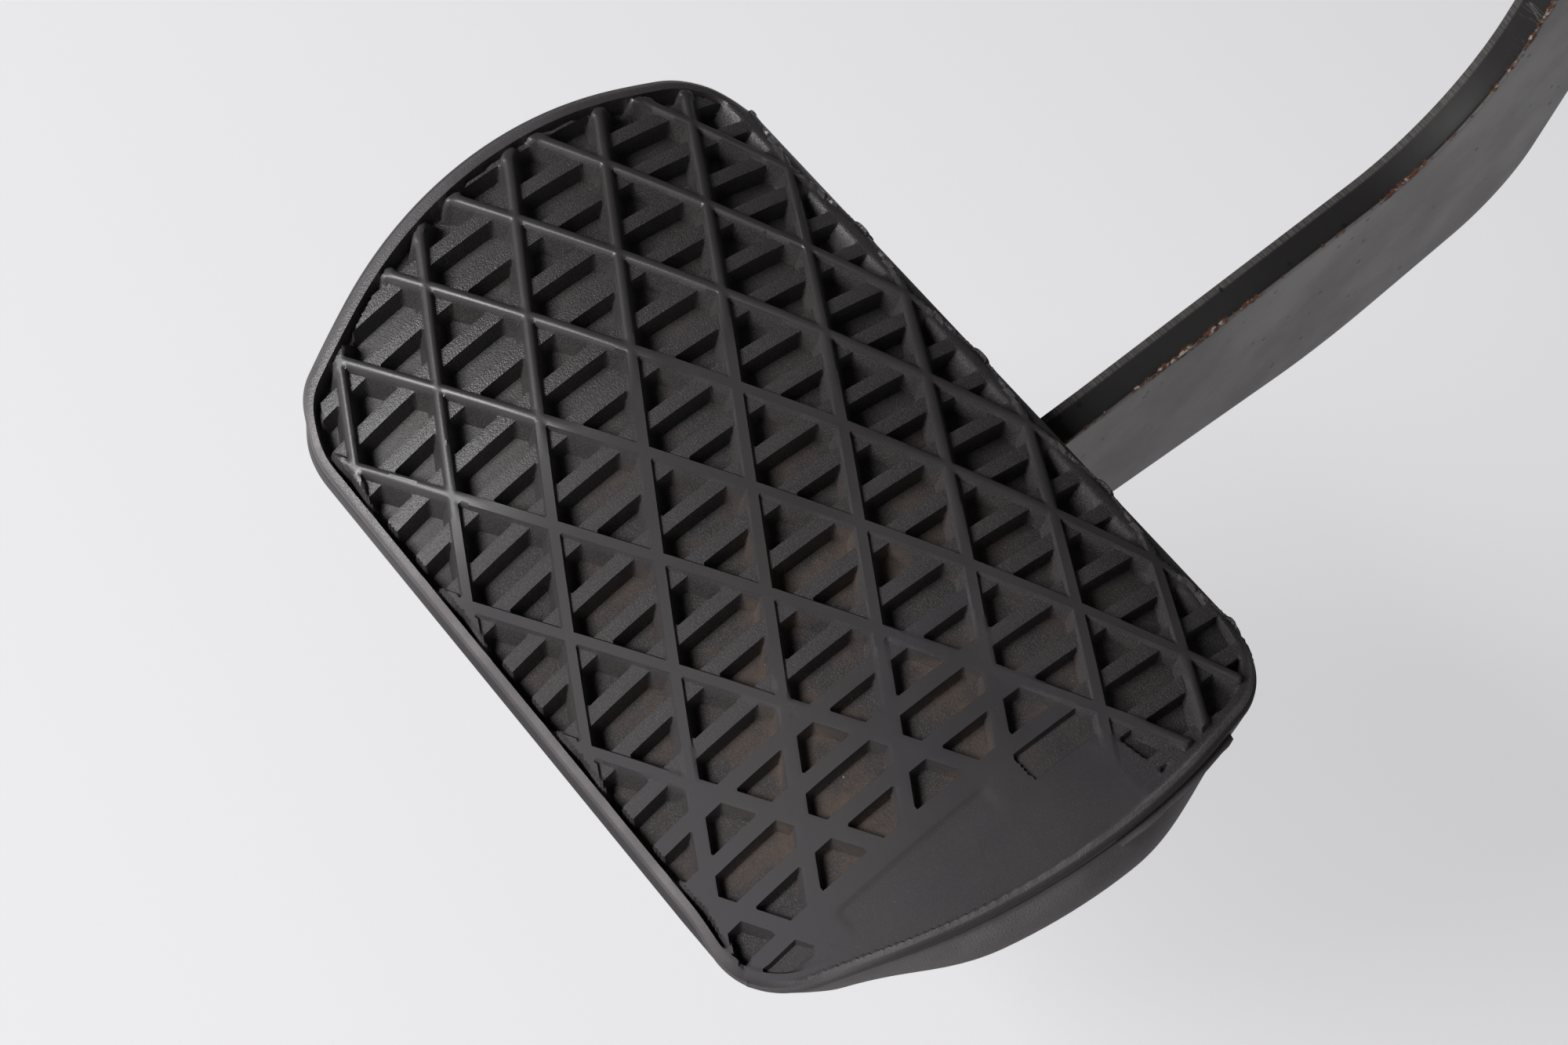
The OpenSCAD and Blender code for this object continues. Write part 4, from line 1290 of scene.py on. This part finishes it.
    @staticmethod
    def ragged(line: np.ndarray, rng: random.Random) -> np.ndarray:
        """Gives the torn moulding flash along the top edge.

        Args:
            line: Points of the outer edge as (u, s).
            rng: Source of the random steps.

        Returns:
            Distance that the flash stands out at each point.
        """
        count = len(line)
        level = np.zeros(count)
        at = 0
        while at < count:
            length = rng.randint(3, 13)
            height = rng.choice((0.0, 0.2, 0.45, 0.8, 1.1))
            level[at : at + length] = height
            at += length
        looped = np.concatenate([level[-2:], level, level[:2]])
        slow = np.convolve(looped, [0.15, 0.25, 0.3, 0.2, 0.1], "valid")
        rough = np.array([rng.random() for _ in range(count)])
        u, s = line[:, 0], line[:, 1]
        on_top = smoothstep(s, 36.0, 38.5) * smoothstep(u, -46.0, -38.0) * smoothstep(u, 56.0, 50.0)
        strip = (u > 50.0) & (s > 5.5) & (s < 27.0)
        return on_top * (slow + 0.22 * rough) + strip * (0.75 + 0.15 * slow)

    @staticmethod
    def turned(flat: np.ndarray, triangles: list) -> bool:
        """Tells whether the flat faces run clockwise."""
        a, b, c = (flat[i] for i in triangles[0])
        return bool((b[0] - a[0]) * (c[1] - a[1]) - (b[1] - a[1]) * (c[0] - a[0]) < 0)


# The lever


@dataclass
class Lever:
    """Blanked plate lever with rolled and sheared edges, sizes in millimetres."""

    pivot: Point2 = (-130.0, 78.0)
    pad_place: Point2 = (-205.0, -162.0)
    lean: float = 50.0
    crown: float = 78.0
    plate_back: float = 68.5
    front: float = 22.0364
    knee: float = 115.0
    low_w: float = 30.0
    knee_w: float = 39.0
    mid_w: float = 25.0
    head_r: float = 19.0
    thick: float = 5.0
    heel: float = -20.714

    def from_pad(self, v: float, n: float) -> Point2:
        """Carries a side view point from the pad's frame, v up the pad and n out of its crown."""
        a = math.radians(self.lean)
        return (
            self.pad_place[0] + v * math.sin(a) - n * math.cos(a),
            self.pad_place[1] + v * math.cos(a) + n * math.sin(a),
        )

    def on_plate(self, angle: float) -> Point2:
        """Gives the point on the back of the foot plate at an angle on the crown."""
        a = math.radians(angle)
        return self.from_pad(self.plate_back * math.sin(a), self.plate_back * math.cos(a) - self.crown)

    @property
    def toe(self) -> float:
        """Angle on the crown where the lever leaves the foot plate."""
        return math.degrees(math.acos((self.crown - self.front) / self.plate_back))

    @property
    def rear_heel(self) -> Point2:
        """Rear corner of the lever's heel."""
        return self.from_pad(self.plate_back * math.sin(math.radians(self.heel)) - 1, -26)

    def outline(self) -> np.ndarray:
        """Gives the lever's outline in the side view.

        Returns:
            Points as (y, z).
        """
        toe, heel = self.toe, self.heel
        arc = [self.on_plate(heel + (toe - heel) * i / 40) for i in range(41)]
        bend = (self.pad_place[0] + 68.0, self.pad_place[1] + 140.0)
        r, (py, pz) = self.head_r, self.pivot
        corners = [
            (*self.on_plate(toe), 0.0),
            (*self.from_pad(self.knee, 3 - self.front), 26.0),
            (*bend, 90.0),
            (py - r, pz + r, 0.9 * r),
            (py + r, pz + r, 0.9 * r),
            (bend[0] + self.mid_w, bend[1] - 2, 90.0),
            (*self.from_pad(self.knee + 17, -self.front - 30), 17.0),
            (*self.from_pad(self.knee - 19, 2 - self.front - self.knee_w), 60.0),
            (*self.from_pad(38, -self.front - self.low_w), 60.0),
            (*self.rear_heel, 6.0),
            (*self.on_plate(heel), 0.0),
        ]
        rest = rounded(corners, 16)[1:-1]
        return resampled(np.vstack([arc, rest]), 1.2)

    def weld_path(self, side: int) -> np.ndarray:
        """Gives the line of the weld between the lever and the foot plate.

        Args:
            side: 1 for the driver's right side, -1 for the left.

        Returns:
            Points in millimetres.
        """
        path = []
        for degrees in range(-20, 27, 2):
            a = math.radians(degrees)
            v, n = self.plate_back * math.sin(a), (self.plate_back - 0.6) * math.cos(a) - self.crown
            path.append((side * (self.thick / 2 + 0.4), *self.from_pad(v, n)))
        return np.array(path)

    def build(self) -> bpy.types.Object:
        """Builds the lever with a rolled edge on its right and a sheared one on its left.

        Returns:
            The piece.
        """
        line = self.outline()
        away = outward(line)
        half = self.thick / 2
        # Each ring of the lever as its place across the plate and its distance inward from the outline.
        rings = [
            (half, -5.0), (half, -2.6), (half, -1.3), (half - 0.02, -0.75), (half - 0.12, -0.35),
            (half - 0.32, -0.1), (half - 0.6, 0.0), (half - 1.5, 0.0), (0.0, 0.0), (-half + 1.5, -0.02),
            (-half + 1.1, -0.08), (-half + 0.25, -0.16), (-half + 0.05, -0.26), (-half, -0.42),
            (-half, -1.3), (-half, -2.6), (-half, -5.0),
        ]
        count = len(line)
        verts, edge_values, fronts, runs = [], [], [], []
        steps = np.linalg.norm(np.roll(line, -1, axis=0) - line, axis=1)
        run = np.concatenate([[0.0], np.cumsum(steps)[:-1]])
        facing = away @ np.array((-0.93, 0.36))
        ends = np.array([self.on_plate(self.heel), self.on_plate(self.toe)])
        ends = np.vstack([ends, [self.rear_heel]])
        ease = np.clip(gap_to_line(line, ends) / 9.0, 0.04, 1.0)
        for x, inset in rings:
            ring = line + away * (inset * ease)[:, None]
            verts.append(np.column_stack([np.full(count, x), ring]))
            near = math.exp(-((max(half - x, 0.0) / 0.7) ** 2)) * math.exp(-(((-inset) / 1.2) ** 2))
            edge_values.append(near * smoothstep(facing, 0.1, 0.6))
            in_front = abs(inset) < 0.5 and x < half - 0.2
            fronts.append(smoothstep(facing, 0.1, 0.5) if in_front else np.zeros(count))
            runs.append(run)
        faces: list = []
        for i in range(len(rings) - 1):
            faces += bridge(i * count, (i + 1) * count, count, flip=False)
        stack = np.vstack(verts)
        for ring_at, right in ((0, True), ((len(rings) - 1) * count, False)):
            faces += self.side(stack, ring_at, count, right)
        piece = add_mesh("lever_plate", stack * MM, faces, Body.PEDAL)
        add_value(piece, "edge", np.concatenate(edge_values))
        add_value(piece, "front", np.concatenate(fronts))
        add_value(piece, "run", np.concatenate(runs) * MM)
        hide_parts("pedal_arm")
        return piece

    def side(self, stack: np.ndarray, start: int, count: int, right: bool) -> list:
        """Fills one broad side of the lever.

        Args:
            stack: All points of the lever.
            start: First point of the ring that bounds the side.
            count: Points in that ring.
            right: True for the driver's right side.

        Returns:
            The faces.
        """
        points = [Vector((p[1], p[2])) for p in stack[start : start + count]]
        made = delaunay_2d_cdt(points, [], [list(range(count))], 1, 1e-6)
        out = []
        for t in made[2]:
            a, b, c = (made[0][k] for k in t)
            turn = (b.x - a.x) * (c.y - a.y) - (b.y - a.y) * (c.x - a.x)
            ids = [start + made[3][k][0] for k in t]
            out.append(tuple(ids if (turn > 0) == right else ids[::-1]))
        return out


# Welds and spring


@dataclass
class WeldBead:
    """A rippled fillet weld along a line, sizes in millimetres."""

    name: str
    path: np.ndarray
    size: float = 2.2
    pitch: float = 1.5

    def build(self, finish: bpy.types.Material) -> bpy.types.Object:
        """Builds and dresses the bead.

        Args:
            finish: Its material.

        Returns:
            The piece.
        """
        run = np.concatenate([[0.0], np.cumsum(np.linalg.norm(np.diff(self.path, axis=0), axis=1))])
        at = np.linspace(0, run[-1], max(12, int(run[-1] / 0.3)))
        fine = np.stack([np.interp(at, run, self.path[:, k]) for k in range(3)], axis=1)
        ripple = 1 + 0.10 * np.abs(np.sin(np.pi * at / self.pitch)) + 0.05 * np.sin(at * 0.9)
        ends = np.clip(np.minimum(at, run[-1] - at) / self.size, 0.15, 1) ** 0.5
        verts, faces = swept(fine, self.size * ripple * ends, 12, (1, 0, 0))
        piece = add_mesh(self.name, verts * MM, faces, Body.PEDAL)
        piece.data.materials.append(finish)
        return piece


@dataclass
class ReturnSpring:
    """Torsion spring around the pivot tube, sizes in millimetres."""

    pivot: Point2 = (-130.0, 78.0)
    wire: float = 3.0
    turns: int = 4
    coil_r: float = 15.6
    coil_start: float = -7.3
    pitch: float = 3.25
    hook: Point2 = (-109.84, 44.0)
    anchor: Point2 = (-84.0, 82.0)
    arm_end: float = 4.5
    wall_end: float = -30.0

    def touch(self, point: Point2) -> float:
        """Gives the angle on the coil where a line from a point meets it."""
        dy, dz = point[0] - self.pivot[0], point[1] - self.pivot[1]
        return math.atan2(dz, dy) + math.acos(self.coil_r / math.hypot(dy, dz))

    def build(self) -> bpy.types.Object:
        """Builds the spring, which winds between the bracket and the pedal.

        Returns:
            The piece.
        """
        first, last = self.touch(self.hook), self.touch(self.anchor)
        sweep = 2 * math.pi * self.turns + last - first
        coil_end = self.coil_start - (self.turns + 0.25) * self.pitch
        steps = 72 * self.turns
        bend = self.wire
        path = [(self.arm_end, *self.hook), (self.coil_start + bend, *self.hook)]
        path.append((self.coil_start + 0.3 * bend, self.hook[0], self.hook[1] + 0.3 * bend))
        path.append((self.coil_start, self.hook[0], self.hook[1] + bend))
        for i in range(steps + 1):
            a = first + sweep * i / steps
            x = self.coil_start + (coil_end - self.coil_start) * i / steps
            y, z = self.pivot[0] + self.coil_r * math.cos(a), self.pivot[1] + self.coil_r * math.sin(a)
            path.append((x, y, z))
        path.append((coil_end, self.anchor[0] - bend, self.anchor[1]))
        path.append((coil_end - 0.3 * bend, self.anchor[0] - 0.3 * bend, self.anchor[1]))
        path.append((coil_end - bend, *self.anchor))
        path.append((self.wall_end, *self.anchor))
        fine = self.smooth(np.array(path))
        verts, faces = swept(fine, np.full(len(fine), self.wire / 2), 16, (0, 1, 0))
        piece = add_mesh("torsion_spring", verts * MM, faces, None)
        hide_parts("return_spring")
        return piece

    @staticmethod
    def smooth(path: np.ndarray) -> np.ndarray:
        """Spreads points along a path and rounds its corners."""
        run = np.concatenate([[0.0], np.cumsum(np.linalg.norm(np.diff(path, axis=0), axis=1))])
        at = np.linspace(0, run[-1], int(run[-1] / 0.8))
        fine = np.stack([np.interp(at, run, path[:, k]) for k in range(3)], axis=1)
        for _ in range(3):
            fine[1:-1] = 0.25 * fine[:-2] + 0.5 * fine[1:-1] + 0.25 * fine[2:]
        return fine


# The studio


@dataclass
class Studio:
    """Pale floor, soft light and the camera at the photograph's angle."""

    floor_z: float = -0.235
    floor_glow: float = 0.50
    floor_side: float = 6.0
    sky_low: Point3 = (0.86, 0.85, 0.85)
    sky_high: Point3 = (0.10, 0.10, 0.105)
    sky_strength: float = 0.55
    lamps_aim: Point3 = (-0.01, -0.2, -0.13)
    key_at: Point3 = (-0.37, -1.74, 0.15)
    key_size: float = 0.64
    key_power: float = 32.0
    side_at: Point3 = (1.0, -0.35, -0.75)
    side_size: float = 0.8
    side_power: float = 9.0
    lens: float = 65.40498
    camera_at: Point3 = (117.426175, -90.335572, 311.854884)
    right: Point3 = (0.627001, 0.779016, 0.002121)
    down: Point3 = (0.708758, -0.569319, -0.416579)
    ahead: Point3 = (-0.323314, 0.262699, -0.909097)

    def pad_to_row(self, v: Point3, pad: RubberPad, shift: bool) -> Vector:
        """Carries a point or a direction from the pad's frame into the row frame.

        Args:
            v: Components across, up the pad and out of its crown.
            pad: The pad.
            shift: True for a point.

        Returns:
            The vector, in millimetres for a point.
        """
        a = math.radians(pad.lean)
        y = v[1] * math.sin(a) - v[2] * math.cos(a)
        z = v[1] * math.cos(a) + v[2] * math.sin(a)
        return Vector((v[0], y, z)) + (Vector(pad.place) if shift else Vector())

    def add_camera(self, pad: RubberPad) -> None:
        """Places the camera where the photograph was taken from."""
        data = bpy.data.cameras.new("studio_camera")
        data.sensor_width = 36.0
        data.sensor_fit = "HORIZONTAL"
        data.lens = self.lens
        data.clip_start = 0.01
        data.clip_end = 20.0
        camera = bpy.data.objects.new("studio_camera", data)
        bpy.context.scene.collection.objects.link(camera)
        x = self.pad_to_row(self.right, pad, False)
        y = -self.pad_to_row(self.down, pad, False)
        z = -self.pad_to_row(self.ahead, pad, False)
        turn = Matrix((x, y, z)).transposed().to_4x4()
        camera.matrix_world = Matrix.Translation(self.pad_to_row(self.camera_at, pad, True) * MM) @ turn
        bpy.context.scene.camera = camera

    def add_floor(self) -> None:
        """Lays a pale floor that keeps the soft shadow."""
        mesh = bpy.data.meshes.new("studio_floor")
        side, z = self.floor_side, self.floor_z
        corners = [(-side, -side, z), (side, -side, z), (side, side, z), (-side, side, z)]
        mesh.from_pydata(corners, [], [(0, 1, 2, 3)])
        floor = bpy.data.objects.new("studio_floor", mesh)
        bpy.context.scene.collection.objects.link(floor)
        material, g, shader = new_material("floor_card")
        cloud = g.noise(3.0, 2.0)
        g.feed(shader.inputs["Base Color"], g.mix(cloud, (0.86, 0.855, 0.865, 1), (0.89, 0.885, 0.895, 1)))
        shader.inputs["Roughness"].default_value = 0.8
        shader.inputs["Specular IOR Level"].default_value = 0.2
        path = g.add("ShaderNodeLightPath")
        seen = g.math("MAXIMUM", path.outputs["Is Camera Ray"], path.outputs["Is Glossy Ray"])
        seen = g.math("MAXIMUM", seen, path.outputs["Is Transmission Ray"])
        shader.inputs["Emission Color"].default_value = (0.98, 0.975, 1.0, 1)
        g.feed(shader.inputs["Emission Strength"], g.math("MULTIPLY", seen, self.floor_glow))
        mesh.materials.append(material)

    def add_light(self) -> None:
        """Adds a surrounding that darkens overhead, a soft lamp on the driver's side and a weak fill."""
        world = bpy.data.worlds.new("studio_world")
        bpy.context.scene.world = world
        world.use_nodes = True
        g = Graph(world.node_tree)
        towards = g.add("ShaderNodeTexCoord").outputs["Generated"]
        up = g.add("ShaderNodeSeparateXYZ", Vector=towards).outputs[2]
        shade = g.mix(g.span(up, -0.1, 0.7), (*self.sky_low, 1), (*self.sky_high, 1))
        background = world.node_tree.nodes["Background"]
        g.feed(background.inputs[0], shade)
        background.inputs[1].default_value = self.sky_strength
        self.lamp("key_softbox", self.key_at, self.lamps_aim, self.key_size, self.key_power)
        self.lamp("side_softbox", self.side_at, self.lamps_aim, self.side_size, self.side_power)

    @staticmethod
    def lamp(name: str, at: Point3, to: Point3, size: float, power: float) -> None:
        """Adds one area lamp.

        Args:
            name: Name of the lamp.
            at: Its place.
            to: The point it faces.
            size: Its side in metres.
            power: Its power in watts.
        """
        data = bpy.data.lights.new(name, "AREA")
        data.shape = "SQUARE"
        data.size = size
        data.energy = power
        lamp = bpy.data.objects.new(name, data)
        bpy.context.scene.collection.objects.link(lamp)
        lamp.location = at
        lamp.rotation_euler = (Vector(to) - Vector(at)).to_track_quat("-Z", "Y").to_euler()


# Putting it together


class Assembly:
    """Builds and dresses every sub-assembly in order."""

    def __init__(self) -> None:
        """Builds the shared effects and finishes."""
        effects = Effects()
        self.rubber = TreadRubber().build(effects)
        self.lever_paint = LeverPaint().build(effects)
        self.tube_paint = SheetPaint("tube_paint_satin", (0.018, 0.0175, 0.018), 0.32).build(effects)
        self.sheet_paint = SheetPaint().build(effects)
        self.buffer_rubber = MouldedStock("buffer_rubber", (0.022, 0.022, 0.023), 0.6).build(effects)
        self.nylon = MouldedStock("natural_nylon", (0.72, 0.68, 0.58), 0.42, 900.0).build(effects)
        self.plastic = MouldedStock("black_moulding", (0.018, 0.018, 0.019), 0.44, 1600.0).build(effects)
        self.zinc = BareSteel("zinc_plate", (0.62, 0.60, 0.54), (0.40, 0.37, 0.31), 0.33).build(effects)
        oiled = BareSteel("oiled_spring_wire", (0.26, 0.26, 0.27), (0.14, 0.12, 0.11), 0.30)
        self.spring_steel = oiled.build(effects)

    def dress_nodes(self) -> None:
        """Gives every CAD node its finish."""
        finishes = {
            Slot.BRACKET.value: self.sheet_paint,
            Slot.LEVER.value: self.tube_paint,
            Slot.RUBBER.value: self.buffer_rubber,
            Slot.ZINC.value: self.zinc,
            Slot.SPRING.value: self.spring_steel,
            Slot.NYLON.value: self.nylon,
            Slot.PLASTIC.value: self.plastic,
        }
        for part in frame["record"]["subparts"]:
            node = frame["nodes"][part["node"]]
            node.data.materials.clear()
            node.data.materials.append(finishes[part["material_slot"]])
            log.info("%s dressed as %s", part["node"], part["material_slot"])

    def build(self) -> None:
        """Builds the pieces that replace or join the CAD nodes."""
        pad = RubberPad()
        pad.build().data.materials.append(self.rubber)
        lever = Lever()
        lever.build().data.materials.append(self.lever_paint)
        spring = ReturnSpring().build()
        spring.data.materials.append(self.spring_steel)
        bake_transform(spring)
        for side in (-1, 1):
            name = "plate_weld_left" if side < 0 else "plate_weld_right"
            WeldBead(name, lever.weld_path(side)).build(self.tube_paint)
        studio = Studio()
        studio.add_camera(pad)
        studio.add_floor()
        studio.add_light()


def main() -> None:
    """Builds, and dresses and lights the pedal."""
    logging.basicConfig(level=logging.INFO, format="%(name)s: %(message)s")
    assembly = Assembly()
    assembly.dress_nodes()
    assembly.build()
    bpy.context.scene.view_settings.view_transform = "Standard"


if __name__ == "__main__":
    main()
